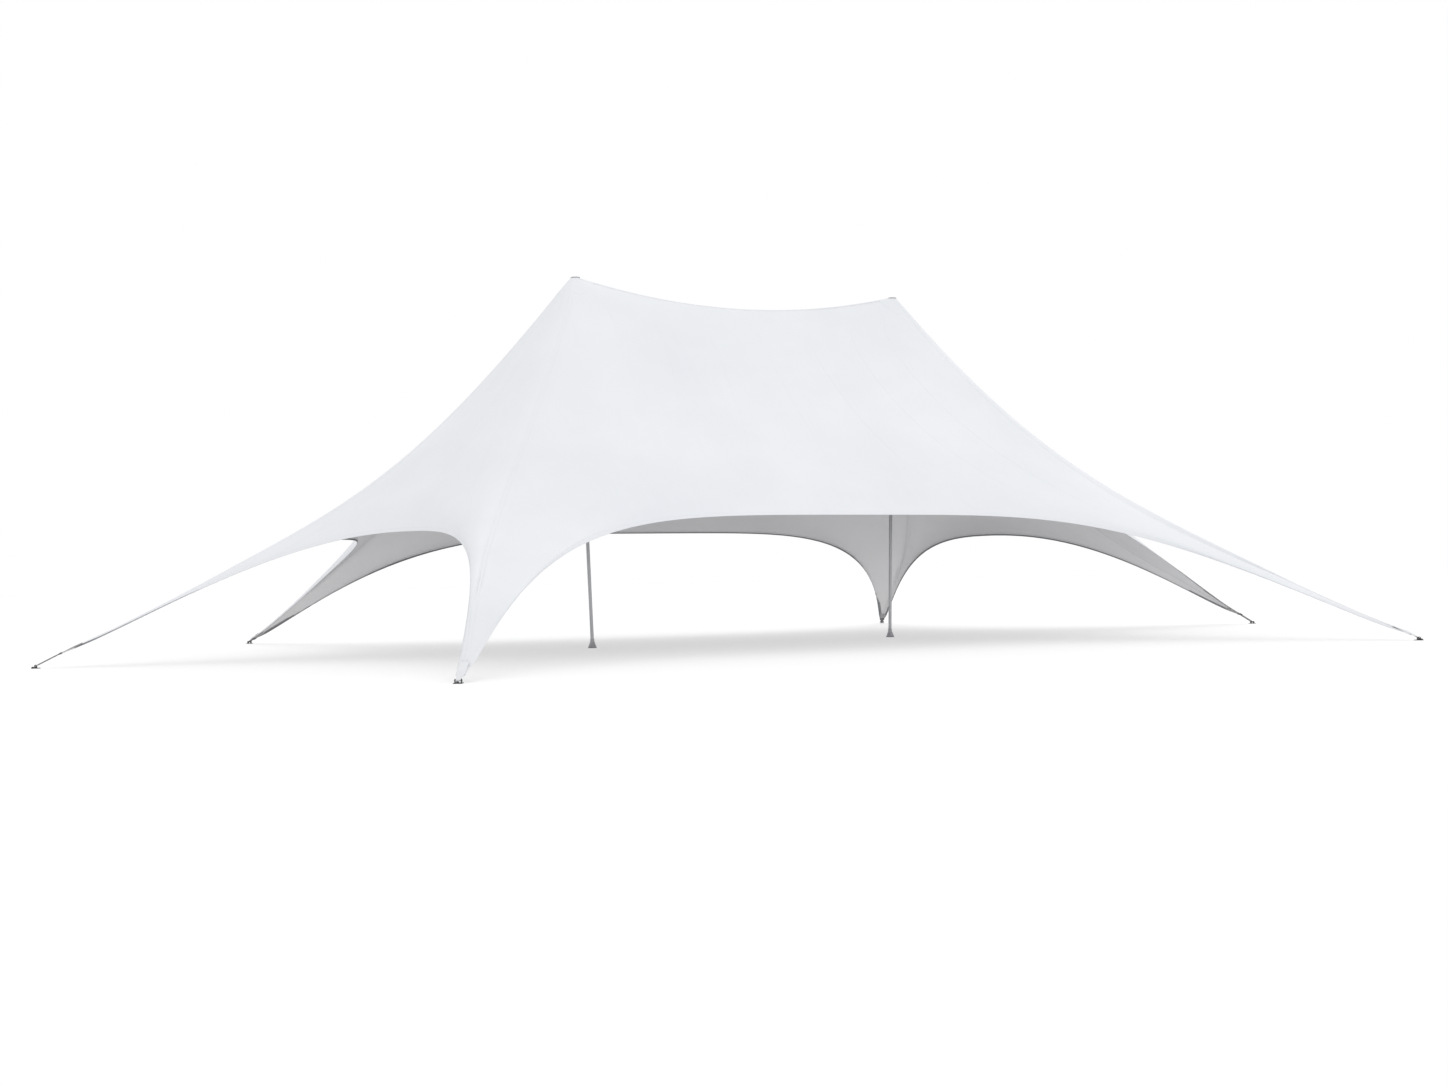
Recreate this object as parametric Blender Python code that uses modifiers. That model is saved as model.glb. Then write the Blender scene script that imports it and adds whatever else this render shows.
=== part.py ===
"""A twin-mast star tent: a membrane of six panels over two masts, held by six ground anchors.

The membrane's free edges are given as smooth arches and its leg lines as sagging curves. Its
inside is found as a net of links in tension between those and the two rings at the mast heads, so
it takes the saddle shape of stretched cloth. +X runs along the ridge, the front is at -Y and the
ground is z = 0.
"""
import math

import bmesh
import bpy
import numpy as np
from mathutils import Matrix, Vector

# Layout of the tent, in metres
PEAK_HEIGHT = 5.5            # membrane rings at the two mast heads
MAST_FOOT_X = 2.550          # masts stand on the long axis, this far from the middle
MAST_LEAN = 0.170            # each mast head lies this much further out than its foot
END_ANCHOR_X = 10.134        # the anchors on the long axis
SIDE_ANCHOR_X = 6.480        # the four anchors at the long sides
SIDE_ANCHOR_Y = 7.004

# Membrane
SHEET_THICKNESS = 0.004
SEAM_GAP = 0.0003            # between neighbouring panels
RING_RADIUS = 0.062          # opening at each mast head
TIP_WIDTH = 0.085            # width of the membrane where it meets a corner plate
END_TIP_REACH = 0.30         # from an end anchor in to the membrane's tip
SIDE_TIP_REACH = 0.13
TIP_SLOPE = math.radians(27.0)

# Arched edges. The middle lies "inset" in from the line between two tips and "rise" above it. The
# arch is (1 - |u|^power)^blend: a higher power gives it a flatter top. The skews move the deepest
# and the highest place of a short arch towards the end anchor.
LONG_ARCH = {"inset": 3.282, "inset_powers": (3.77, 1.095), "inset_skew": 0.0,
             "rise": 1.717, "rise_powers": (4.09, 1.236), "rise_skew": 0.0}
SHORT_ARCH = {"inset": 2.895, "inset_powers": (1.835, 1.078), "inset_skew": 0.055,
              "rise": 1.539, "rise_powers": (2.373, 1.256), "rise_skew": 0.075}
ARCH_SAMPLES = 401

# Leg lines, from each ring down to its tip. A line hangs below the straight way by its sag, and
# the side legs bow out in plan towards the tent's ends. Both are size * u^first * (1 - u)^second,
# where u runs from 0 at the ring to 1 at the tip.
END_LEG_SAG = {"size": 5.266, "powers": (1.181, 1.419)}
SIDE_LEG_SAG = {"size": 4.604, "powers": (0.964, 1.401)}
SIDE_LEG_BOW = {"size": 2.541, "powers": (1.369, 1.422)}
LEG_SAMPLES = 401
LEG_SPREAD = 1.2             # above 1, the net's rows lie closer together at the rings

# The net that finds the form: its divisions, and the pull of each kind of link per metre. Hoop
# links run around the masts and radial ones down to the edges. Hoops fade out towards the edges
# as (1 - s^first)^second, for they would drag the cloth out past the arches.
ROWS = 16                    # from a mast head down to an edge
RING_STEPS = 4               # of a long panel around each mast head
RIDGE_STEPS = 10
SHORT_COLUMNS = 14
PULL = {"long_hoop": 2.60, "long_radial": 1.0, "short_hoop": 10.28, "short_radial": 3.93,
        "ridge": 17.35}
HOOP_FADE = (3.0, 3.0)

# Masts
TUBE_DIAMETER = 0.050
TUBE_SIDES = 24
FOOT_PROFILE = ((0.0, 0.0), (0.066, 0.0), (0.066, 0.004), (0.045, 0.047), (0.029, 0.133))
FOOT_HEIGHT = FOOT_PROFILE[-1][1]
JOINT_SHARE = 0.5            # where the lower tube ends, as a share of the mast
CAP_RADIUS = 0.070
CAP_THICKNESS = 0.009
CAP_RIM_SHARE = 0.4          # height of the cap's upright rim, as a share of its thickness
CAP_DOME = (0.6, 0.85)       # a point of the dome: shares of the radius and of the thickness
HUB_DROP = 0.075             # from the ring down to the top of the tube
HUB_WAIST = (0.75, 0.6)      # where the hub swells: shares of its radius and of its drop
HUB_SHOULDER = 0.2           # where it reaches its full radius, as a share of its drop
HUB_COLLAR = 0.004           # the hub's foot is this much wider than the tube on each side
TURNED_SIDES = 32
SEAT_GAP = 0.0003            # between touching pieces

# Ground anchors
PLATE_SIZE = (0.110, 0.090, 0.006)
EAR_SIZE = (0.036, 0.006, 0.040)
EAR_SPAN = 0.070             # over the outside of the two ears
EAR_SUNK = 0.003             # how far each ear runs down into its plate
PIN_DIAMETER = 0.012
PIN_HEIGHT = 0.024           # above the plate
STRAP_WIDTH = 0.050
STRAP_THICKNESS = 0.003
CORNER_SIZE = (0.045, 0.092, 0.008)
CORNER_GAP = 0.0008
CORNER_ROUNDING = 0.0015
SMALL_SIDES = 16             # around a pin or a peg head
PEG_OFFSET = 0.036           # out from the pin
PEG_PROFILE = ((0.0, 0.0), (0.018, 0.0), (0.018, 0.007), (0.013, 0.014), (0.0, 0.016))

# Colours, roughness and metallic value of each material
FINISHES = {
    "membrane": ((0.84, 0.85, 0.88), 0.55, 0.0),
    "mast_tube": ((0.42, 0.42, 0.43), 0.35, 1.0),
    "mast_casting": ((0.22, 0.22, 0.23), 0.5, 0.6),
    "anchor_steel": ((0.08, 0.08, 0.085), 0.5, 0.7),
    "webbing": ((0.62, 0.62, 0.64), 0.8, 0.0),
}

SHARP_ANGLE = math.radians(40.0)
UP = Vector((0.0, 0.0, 1.0))
ANCHORS = {
    "left": Vector((-END_ANCHOR_X, 0.0, 0.0)),
    "front_left": Vector((-SIDE_ANCHOR_X, -SIDE_ANCHOR_Y, 0.0)),
    "front_right": Vector((SIDE_ANCHOR_X, -SIDE_ANCHOR_Y, 0.0)),
    "right": Vector((END_ANCHOR_X, 0.0, 0.0)),
    "back_right": Vector((SIDE_ANCHOR_X, SIDE_ANCHOR_Y, 0.0)),
    "back_left": Vector((-SIDE_ANCHOR_X, SIDE_ANCHOR_Y, 0.0)),
}
# Each panel spans from one anchor's leg line to the next, anticlockwise seen from above
PANELS = {
    "canopy_left_front": ("left", "front_left"),
    "canopy_front": ("front_left", "front_right"),
    "canopy_right_front": ("front_right", "right"),
    "canopy_right_back": ("right", "back_right"),
    "canopy_back": ("back_right", "back_left"),
    "canopy_left_back": ("back_left", "left"),
}
LONG_PANELS = ("canopy_front", "canopy_back")


def mast_side(anchor):
    """-1 for an anchor held by the left mast, 1 for one held by the right mast."""
    return -1 if ANCHORS[anchor].x < 0 else 1


def peak(side):
    """Centre of the membrane's ring on the left (-1) or right (1) mast."""
    return Vector((side * (MAST_FOOT_X + MAST_LEAN), 0.0, PEAK_HEIGHT))


def inward(anchor):
    """Level direction from an anchor towards its mast head."""
    way = peak(mast_side(anchor)) - ANCHORS[anchor]
    way.z = 0.0
    return way.normalized()


def tip(anchor):
    """Middle of the membrane's cut end at an anchor."""
    reach = SIDE_TIP_REACH if ANCHORS[anchor].y else END_TIP_REACH
    height = PLATE_SIZE[2] + PIN_HEIGHT + reach * math.tan(TIP_SLOPE)
    return ANCHORS[anchor] + inward(anchor) * reach + UP * height


def tip_corner(anchor, onward):
    """Corner of the cut end on the side of the next anchor (onward 1) or of the last one (-1)."""
    across = UP.cross(inward(anchor))
    return tip(anchor) - across * (onward * TIP_WIDTH / 2)


def leg_angle(anchor):
    """Angle in plan at which an anchor's leg line leaves the mast head."""
    away = -inward(anchor)
    return math.atan2(away.y, away.x)


def ring_point(side, angle):
    """Point of the membrane's ring on a mast, at an angle in plan."""
    return peak(side) + RING_RADIUS * Vector((math.cos(angle), math.sin(angle), 0.0))


def arch_points(panel, count):
    """Evenly spaced points along a panel's free edge, from the first tip to the last."""
    first, last = PANELS[panel]
    arch = LONG_ARCH if panel in LONG_PANELS else SHORT_ARCH
    start = np.array(tip_corner(first, 1))
    end = np.array(tip_corner(last, -1))
    middle = (start + end) / 2
    half = (end - start) / 2
    towards_centre = np.array([-half[1], half[0], 0.0]) / math.hypot(half[0], half[1])
    share = np.sin(np.linspace(-math.pi / 2, math.pi / 2, ARCH_SAMPLES))
    to_end = 1 if ANCHORS[first].y == 0 else -1
    curve = middle + np.outer(share, half)
    for part, way in (("inset", towards_centre), ("rise", UP)):
        power, blend = arch[part + "_powers"]
        skewed = np.abs(share + to_end * arch[part + "_skew"] * (1 - share ** 2))
        curve += arch[part] * np.outer(np.maximum(1 - skewed ** power, 0.0) ** blend, way)
    run = np.concatenate([[0.0], np.cumsum(np.linalg.norm(np.diff(curve, axis=0), axis=1))])
    stops = np.linspace(0.0, run[-1], count)
    return np.column_stack([np.interp(stops, run, curve[:, axis]) for axis in range(3)])


def leg_points(anchor):
    """Points down an anchor's leg line, from the ring to the tip, one for each row of the net."""
    side = mast_side(anchor)
    ring = np.array(ring_point(side, leg_angle(anchor)))
    way = np.array(tip(anchor)) - ring
    share = np.linspace(0.0, 1.0, LEG_SAMPLES)
    curve = ring + np.outer(share, way)
    is_side = ANCHORS[anchor].y != 0
    sag = SIDE_LEG_SAG if is_side else END_LEG_SAG
    first, second = sag["powers"]
    curve[:, 2] -= sag["size"] * share ** first * (1 - share) ** second
    if is_side:
        outward = np.array([abs(way[1]), -way[0] * way[1] / abs(way[1])]) / math.hypot(*way[:2])
        outward *= side
        first, second = SIDE_LEG_BOW["powers"]
        bow = SIDE_LEG_BOW["size"] * share ** first * (1 - share) ** second
        curve[:, :2] += np.outer(bow, outward)
    run = np.concatenate([[0.0], np.cumsum(np.linalg.norm(np.diff(curve, axis=0), axis=1))])
    stops = run[-1] * np.linspace(0.0, 1.0, ROWS + 1) ** LEG_SPREAD
    return np.column_stack([np.interp(stops, run, curve[:, axis]) for axis in range(3)])


def net_grids():
    """Number the net's nodes, shared along leg lines and ridge, and give each panel its grid."""
    numbers = {}
    grids = {}
    for panel, (first, last) in PANELS.items():
        is_long = panel in LONG_PANELS
        columns = 2 * RING_STEPS + RIDGE_STEPS if is_long else SHORT_COLUMNS
        grid = np.zeros((ROWS + 1, columns + 1), dtype=int)
        for row in range(ROWS + 1):
            for column in range(columns + 1):
                key = (panel, row, column)
                if column == 0:
                    key = ("leg", first, row)
                elif column == columns:
                    key = ("leg", last, row)
                elif is_long and row == 0 and RING_STEPS <= column <= columns - RING_STEPS:
                    step = column - RING_STEPS
                    key = ("ridge", step if panel == "canopy_front" else RIDGE_STEPS - step)
                grid[row, column] = numbers.setdefault(key, len(numbers))
        grids[panel] = grid
    return grids, numbers


def held_nodes(grids, numbers):
    """Places of the nodes that do not move: the rings, the leg lines and the arched edges."""
    held = {}
    for anchor in ANCHORS:
        for row, point in enumerate(leg_points(anchor)):
            held[numbers["leg", anchor, row]] = point
    held[numbers["ridge", 0]] = ring_point(-1, 0.0)
    held[numbers["ridge", RIDGE_STEPS]] = ring_point(1, math.pi)
    for panel, (first, last) in PANELS.items():
        grid = grids[panel]
        columns = grid.shape[1] - 1
        arcs = [(mast_side(first), leg_angle(first), leg_angle(last), 0, columns)]
        if panel in LONG_PANELS:
            ridge_angle = {-1: 0.0, 1: math.pi}
            arcs = [(mast_side(first), leg_angle(first), ridge_angle[mast_side(first)],
                     0, RING_STEPS),
                    (mast_side(last), ridge_angle[mast_side(last)], leg_angle(last),
                     columns - RING_STEPS, columns)]
        for side, begin, finish, low, high in arcs:
            sweep = (finish - begin) % (2 * math.pi)
            for column in range(low + 1, high):
                angle = begin + sweep * (column - low) / (high - low)
                held[grid[0, column]] = ring_point(side, angle)
        for column, point in enumerate(arch_points(panel, columns - 1), start=1):
            held[grid[ROWS, column]] = point
    return held


def net_links(grids):
    """Each link of the net once, as (node, node): pull."""
    links = {}
    first, second = HOOP_FADE
    for panel, grid in grids.items():
        kind = "long" if panel in LONG_PANELS else "short"
        columns = grid.shape[1] - 1
        for row in range(ROWS):
            fade = (1 - (row / ROWS) ** first) ** second
            hoop = PULL[kind + "_hoop"] * fade if row else PULL["ridge"]
            for column in range(columns):
                pair = sorted((grid[row, column], grid[row, column + 1]))
                links.setdefault(tuple(pair), hoop)
            for column in range(columns + 1):
                pair = sorted((grid[row, column], grid[row + 1, column]))
                links.setdefault(tuple(pair), PULL[kind + "_radial"])
    return links


def find_form():
    """Balance the net: each free node comes to rest between its neighbours."""
    grids, numbers = net_grids()
    held = held_nodes(grids, numbers)
    stiffness = np.zeros((len(numbers), len(numbers)))
    for (one, other), pull in net_links(grids).items():
        stiffness[one, one] += pull
        stiffness[other, other] += pull
        stiffness[one, other] -= pull
        stiffness[other, one] -= pull
    fixed = np.array(sorted(held))
    free = np.setdiff1d(np.arange(len(numbers)), fixed)
    points = np.zeros((len(numbers), 3))
    points[fixed] = [held[number] for number in fixed]
    load = -stiffness[np.ix_(free, fixed)] @ points[fixed]
    points[free] = np.linalg.solve(stiffness[np.ix_(free, free)], load)
    return grids, numbers, points


def cell_triangles(grid):
    """Two triangles for each cell of a grid, with diagonals that mirror about its middle."""
    rows, columns = grid.shape[0] - 1, grid.shape[1] - 1
    triangles = []
    for row in range(rows):
        for column in range(columns):
            a, b = grid[row, column], grid[row + 1, column]
            c, d = grid[row + 1, column + 1], grid[row, column + 1]
            if column < columns / 2:
                triangles += [(a, b, c), (a, c, d)]
            else:
                triangles += [(a, b, d), (b, c, d)]
    return triangles


def net_normals(grids, points):
    """Outward direction at each node, taken over all the panels that meet there."""
    normals = np.zeros_like(points)
    for grid in grids.values():
        for triangle in cell_triangles(grid):
            p, q, r = points[list(triangle)]
            area_normal = np.cross(q - p, r - p)
            for number in triangle:
                normals[number] += area_normal
    return normals / np.linalg.norm(normals, axis=1)[:, None]


def seam_shift(local, points, normals):
    """Move a panel's seam nodes into the panel by half the gap that neighbours keep."""
    rows, columns = local.shape
    shift = np.zeros((rows * columns, 3))
    for column, inner in ((0, 1), (columns - 1, columns - 2)):
        for row in range(rows):
            ahead = points[local[min(row + 1, rows - 1), column]]
            behind = points[local[max(row - 1, 0), column]]
            along = (ahead - behind) / np.linalg.norm(ahead - behind)
            across = np.cross(normals[local[row, column]], along)
            across /= np.linalg.norm(across)
            towards = points[local[row, inner]] - points[local[row, column]]
            shift[local[row, column]] += across * math.copysign(SEAM_GAP / 2, across @ towards)
    return shift


def ridge_shift(local, points):
    """Move the nodes on the ridge down into their own panel by half the gap."""
    shift = np.zeros((local.size, 3))
    columns = local.shape[1]
    for column in range(RING_STEPS, columns - RING_STEPS):
        towards = points[local[1, column]] - points[local[0, column]]
        shift[local[0, column], 1] = math.copysign(SEAM_GAP / 2, towards[1])
    return shift


def panel_mesh(panel, grid, points, normals):
    """Closed mesh of one panel. Neighbours share the directions of their thickness at a seam, so
    their side walls stay parallel; a thickness modifier would let them cut into each other."""
    order = grid.ravel()
    local = np.arange(order.size).reshape(grid.shape)
    middle = points[order]
    outward = normals[order]
    middle = middle + seam_shift(local, points[order], outward)
    if panel in LONG_PANELS:
        middle = middle + ridge_shift(local, points[order])
    half = outward * SHEET_THICKNESS / 2
    count = order.size
    faces = []
    rim = (list(local[:, 0]) + list(local[-1, 1:]) + list(local[-2::-1, -1])
           + list(local[0, -2:0:-1]))
    for here, there in zip(rim, rim[1:] + rim[:1]):
        faces.append((there, here, here + count))
        faces.append((there, here + count, there + count))
    for a, b, c in cell_triangles(local):
        faces.append((a, b, c))
        faces.append((c + count, b + count, a + count))
    mesh = bpy.data.meshes.new(panel)
    vertices = np.vstack([middle + half, middle - half])
    mesh.from_pydata(vertices.tolist(), [], [[int(number) for number in face] for face in faces])
    mesh.shade_smooth()
    return mesh


def make_material(name):
    """A plain material with one of the tent's finishes."""
    colour, roughness, metallic = FINISHES[name]
    material = bpy.data.materials.new(name)
    material.use_nodes = True
    shader = material.node_tree.nodes["Principled BSDF"]
    shader.inputs["Base Color"].default_value = (*colour, 1.0)
    shader.inputs["Roughness"].default_value = roughness
    shader.inputs["Metallic"].default_value = metallic
    return material


def add_object(name, mesh, finish, collection, placement=None):
    """Put a mesh in the scene as one named piece with its own material."""
    piece = bpy.data.objects.new(name, mesh)
    collection.objects.link(piece)
    mesh.materials.clear()
    mesh.materials.append(make_material(finish))
    if placement is not None:
        piece.matrix_world = placement
    return piece


def box_mesh(name, size, centre=(0.0, 0.0, 0.0)):
    """A box of a size in metres about a centre."""
    mesh = bpy.data.meshes.new(name)
    form = bmesh.new()
    placement = Matrix.Translation(centre) @ Matrix.Diagonal((*size, 1.0))
    bmesh.ops.create_cube(form, size=1.0, matrix=placement)
    form.to_mesh(mesh)
    form.free()
    return mesh


def rod_mesh(name, diameter, length, sides=TUBE_SIDES):
    """A closed cylinder on the Z axis, standing on the origin."""
    mesh = bpy.data.meshes.new(name)
    form = bmesh.new()
    bmesh.ops.create_cone(form, cap_ends=True, segments=sides, radius1=diameter / 2,
                          radius2=diameter / 2, depth=length,
                          matrix=Matrix.Translation((0.0, 0.0, length / 2)))
    form.to_mesh(mesh)
    form.free()
    mesh.shade_smooth()
    mesh.set_sharp_from_angle(angle=SHARP_ANGLE)
    return mesh


def add_turned(name, profile, finish, collection, place, sides=TURNED_SIDES):
    """A piece turned about a vertical axis from (radius, height) points, listed bottom to top."""
    points = list(reversed(profile))
    if points[0][0] > 0:
        points.insert(0, (0.0, points[0][1]))
    if points[-1][0] > 0:
        points.append((0.0, points[-1][1]))
    mesh = bpy.data.meshes.new(name)
    edges = [(number, number + 1) for number in range(len(points) - 1)]
    mesh.from_pydata([(radius, 0.0, height) for radius, height in points], edges, [])
    piece = add_object(name, mesh, finish, collection, Matrix.Translation(place))
    screw = piece.modifiers.new("turn", "SCREW")
    screw.steps = sides
    screw.render_steps = sides
    screw.use_merge_vertices = True
    screw.merge_threshold = 0.0001
    screw.use_smooth_shade = True
    return piece


def add_bevel(piece, width):
    """Round a piece's sharp edges."""
    bevel = piece.modifiers.new("rounding", "BEVEL")
    bevel.width = width
    bevel.segments = 2
    bevel.limit_method = "ANGLE"
    return piece


def build_canopy(collection):
    """The six panels of the membrane. Returns the rise of each leg line at its tip, in radians."""
    grids, numbers, points = find_form()
    normals = net_normals(grids, points)
    for panel, grid in grids.items():
        add_object(panel, panel_mesh(panel, grid, points, normals), "membrane", collection)
    rises = {}
    for anchor in ANCHORS:
        step = Vector(points[numbers["leg", anchor, ROWS - 1]]) - tip(anchor)
        rises[anchor] = math.atan2(step.z, step.dot(inward(anchor)))
    return rises


def hub_radius():
    """The hub clears the flats of the membrane's ring, which has few sides towards the ridge."""
    widest_step = max((-leg_angle("front_left")) % (2 * math.pi) / RING_STEPS,
                      (leg_angle("left") - leg_angle("back_left")) / SHORT_COLUMNS)
    return RING_RADIUS * math.cos(widest_step / 2) - SHEET_THICKNESS / 2 - SEAT_GAP


def build_mast(name, side, collection):
    """One mast: foot, two tubes that lean out, and the head that grips the membrane's ring."""
    foot = Vector((side * MAST_FOOT_X, 0.0, 0.0))
    add_turned("mast_foot_" + name, FOOT_PROFILE, "mast_casting", collection, foot)
    tube_base = foot + UP * FOOT_HEIGHT
    tube_top = peak(side) - UP * HUB_DROP
    axis = (tube_top - tube_base).normalized()
    end_lift = SEAT_GAP + TUBE_DIAMETER / 2 * math.hypot(axis.x, axis.y)
    turn = axis.to_track_quat("Z", "Y").to_matrix().to_4x4()
    length = (tube_top - tube_base).length - 2 * end_lift
    start = end_lift
    for part, share in (("lower", JOINT_SHARE), ("upper", 1 - JOINT_SHARE)):
        own = length * share - SEAT_GAP / 2
        mesh = rod_mesh("mast_%s_%s" % (part, name), TUBE_DIAMETER, own)
        place = Matrix.Translation(tube_base + axis * start) @ turn
        add_object(mesh.name, mesh, "mast_tube", collection, place)
        start += own + SEAT_GAP
    hub = hub_radius()
    seat = SHEET_THICKNESS / 2 + SEAT_GAP
    profile = ((0.0, -HUB_DROP),
               (TUBE_DIAMETER / 2 + HUB_COLLAR, -HUB_DROP),
               (hub * HUB_WAIST[0], -HUB_DROP * HUB_WAIST[1]),
               (hub, -HUB_DROP * HUB_SHOULDER),
               (hub, seat),
               (CAP_RADIUS, seat),
               (CAP_RADIUS, seat + CAP_THICKNESS * CAP_RIM_SHARE),
               (CAP_RADIUS * CAP_DOME[0], seat + CAP_THICKNESS * CAP_DOME[1]),
               (0.0, seat + CAP_THICKNESS))
    add_turned("mast_head_" + name, profile, "mast_casting", collection, peak(side))


def frame_matrix(origin, forward, upward):
    """Placement whose X axis is forward and whose Z axis is as near to upward as it can be."""
    forward = forward.normalized()
    side = upward.cross(forward).normalized()
    top = forward.cross(side)
    rotation = Matrix((forward, side, top)).transposed()
    return Matrix.Translation(origin) @ rotation.to_4x4()


def add_ground_plate(anchor, collection, cutters):
    """Base plate on the ground with two upright ears that hold the pin."""
    name = "ground_plate_" + anchor
    place = frame_matrix(ANCHORS[anchor], inward(anchor), UP)
    centre = (0.0, 0.0, PLATE_SIZE[2] / 2)
    plate = add_object(name, box_mesh(name, PLATE_SIZE, centre), "anchor_steel", collection, place)
    for side in (-1, 1):
        size = (EAR_SIZE[0], EAR_SIZE[1], EAR_SIZE[2] + EAR_SUNK)
        height = PLATE_SIZE[2] + (EAR_SIZE[2] - EAR_SUNK) / 2
        centre = (0.0, side * (EAR_SPAN - EAR_SIZE[1]) / 2, height)
        ear_name = "%s_ear_%s" % (name, "a" if side < 0 else "b")
        block = box_mesh(ear_name, size, centre)
        ear = add_object(ear_name, block, "anchor_steel", cutters, place)
        ear.hide_render = True
        ear.display_type = "WIRE"
        union = plate.modifiers.new(ear_name, "BOOLEAN")
        union.operation = "UNION"
        union.solver = "EXACT"
        union.object = ear


def build_anchor(anchor, rise, collection, cutters):
    """Plate, peg, pin, strap and corner plate of one anchor, in line from the ground to the tip."""
    place = ANCHORS[anchor]
    inwards = inward(anchor)
    across = UP.cross(inwards)
    add_ground_plate(anchor, collection, cutters)
    add_turned("ground_peg_" + anchor, PEG_PROFILE, "anchor_steel", collection,
               place - inwards * PEG_OFFSET + UP * (PLATE_SIZE[2] + SEAT_GAP), sides=SMALL_SIDES)
    pin_length = EAR_SPAN - 2 * EAR_SIZE[1] - 2 * SEAT_GAP
    pin_centre = place + UP * (PLATE_SIZE[2] + PIN_HEIGHT)
    turn = across.to_track_quat("Z", "Y").to_matrix().to_4x4()
    pin = rod_mesh("anchor_pin_" + anchor, PIN_DIAMETER, pin_length, sides=SMALL_SIDES)
    add_object(pin.name, pin, "anchor_steel", collection,
               Matrix.Translation(pin_centre - across * pin_length / 2) @ turn)
    along_leg = inwards * math.cos(rise) + UP * math.sin(rise)
    corner_end = tip(anchor) - along_leg * CORNER_GAP
    corner_name = "corner_plate_" + anchor
    corner = box_mesh(corner_name, CORNER_SIZE, (-CORNER_SIZE[0] / 2, 0.0, 0.0))
    add_bevel(add_object(corner_name, corner, "anchor_steel", collection,
                         frame_matrix(corner_end, along_leg, UP)), CORNER_ROUNDING)
    upper = corner_end - along_leg * (CORNER_SIZE[0] + SEAT_GAP)
    run = upper - pin_centre
    strap_way = run.normalized()
    bend = STRAP_THICKNESS / 2 * math.sin(strap_way.angle(along_leg))
    low = PIN_DIAMETER / 2 + SEAT_GAP
    strap_length = run.length - low - bend - SEAT_GAP
    strap_name = "tension_strap_" + anchor
    strap_size = (strap_length, STRAP_WIDTH, STRAP_THICKNESS)
    strap = box_mesh(strap_name, strap_size, (strap_length / 2, 0.0, 0.0))
    add_object(strap_name, strap, "webbing", collection,
               frame_matrix(pin_centre + strap_way * low, strap_way, UP))


def main():
    """Clear the scene and build the tent."""
    for old in list(bpy.data.objects):
        bpy.data.objects.remove(old, do_unlink=True)
    collection = bpy.data.collections.new("star_tent")
    cutters = bpy.data.collections.new("cutters")
    for group in (collection, cutters):
        bpy.context.scene.collection.children.link(group)
    rises = build_canopy(collection)
    build_mast("left", -1, collection)
    build_mast("right", 1, collection)
    for anchor, rise in rises.items():
        build_anchor(anchor, rise, collection, cutters)
    bpy.context.view_layer.update()


main()
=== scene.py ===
"""Looks of the twin-mast star tent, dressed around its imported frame.

The canopy is one stretched sheet of coated cloth. Its form is found here again from the same few
sizes that gave the frame its six panels, on a finer net, so that its curves are smooth. Hems,
belts, seams, patches and stitches are laid on that sheet. Masts and ground anchors stand where
the frame has them, as detailed pieces.
"""
import logging
import math
from collections.abc import Iterable, Sequence
from dataclasses import dataclass, field
from enum import Enum
from functools import cached_property

import bmesh
import bpy
import numpy as np
from bpy.types import Material, Mesh, Node, NodeSocket, NodeTree, Object
from mathutils import Matrix, Vector
from mathutils.bvhtree import BVHTree


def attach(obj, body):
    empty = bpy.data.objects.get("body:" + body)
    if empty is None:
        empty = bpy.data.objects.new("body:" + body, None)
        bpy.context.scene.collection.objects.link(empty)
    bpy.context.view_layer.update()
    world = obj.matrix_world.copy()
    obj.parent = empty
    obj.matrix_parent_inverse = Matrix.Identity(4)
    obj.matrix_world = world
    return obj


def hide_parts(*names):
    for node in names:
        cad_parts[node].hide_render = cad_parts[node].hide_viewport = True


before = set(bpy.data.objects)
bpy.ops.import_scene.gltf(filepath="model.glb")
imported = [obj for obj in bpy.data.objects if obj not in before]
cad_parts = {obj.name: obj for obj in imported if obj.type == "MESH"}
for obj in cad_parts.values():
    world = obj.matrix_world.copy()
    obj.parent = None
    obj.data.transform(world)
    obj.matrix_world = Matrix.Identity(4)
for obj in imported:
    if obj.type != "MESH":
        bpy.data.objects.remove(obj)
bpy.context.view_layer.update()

BODY = "root"
UP = Vector((0.0, 0.0, 1.0))
CLOTH_MAP = "cloth"
SHARP_ANGLE = math.radians(32.0)
MERGE_DISTANCE = 1e-6
TINY = 1e-5

log = logging.getLogger("star_tent")


class Side(Enum):
    """The two masts, by the sign of their x."""

    LEFT = -1
    RIGHT = 1

    @property
    def label(self) -> str:
        """Name used in piece names."""
        return self.name.lower()


class Anchor(Enum):
    """The six ground anchors, anticlockwise from the left end."""

    LEFT = "left"
    FRONT_LEFT = "front_left"
    FRONT_RIGHT = "front_right"
    RIGHT = "right"
    BACK_RIGHT = "back_right"
    BACK_LEFT = "back_left"

    @property
    def is_end(self) -> bool:
        """True for the two anchors on the long axis."""
        return self in (Anchor.LEFT, Anchor.RIGHT)

    @property
    def mast(self) -> Side:
        """The mast whose head this anchor's leg line runs to."""
        return Side.LEFT if "left" in self.value else Side.RIGHT


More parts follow.
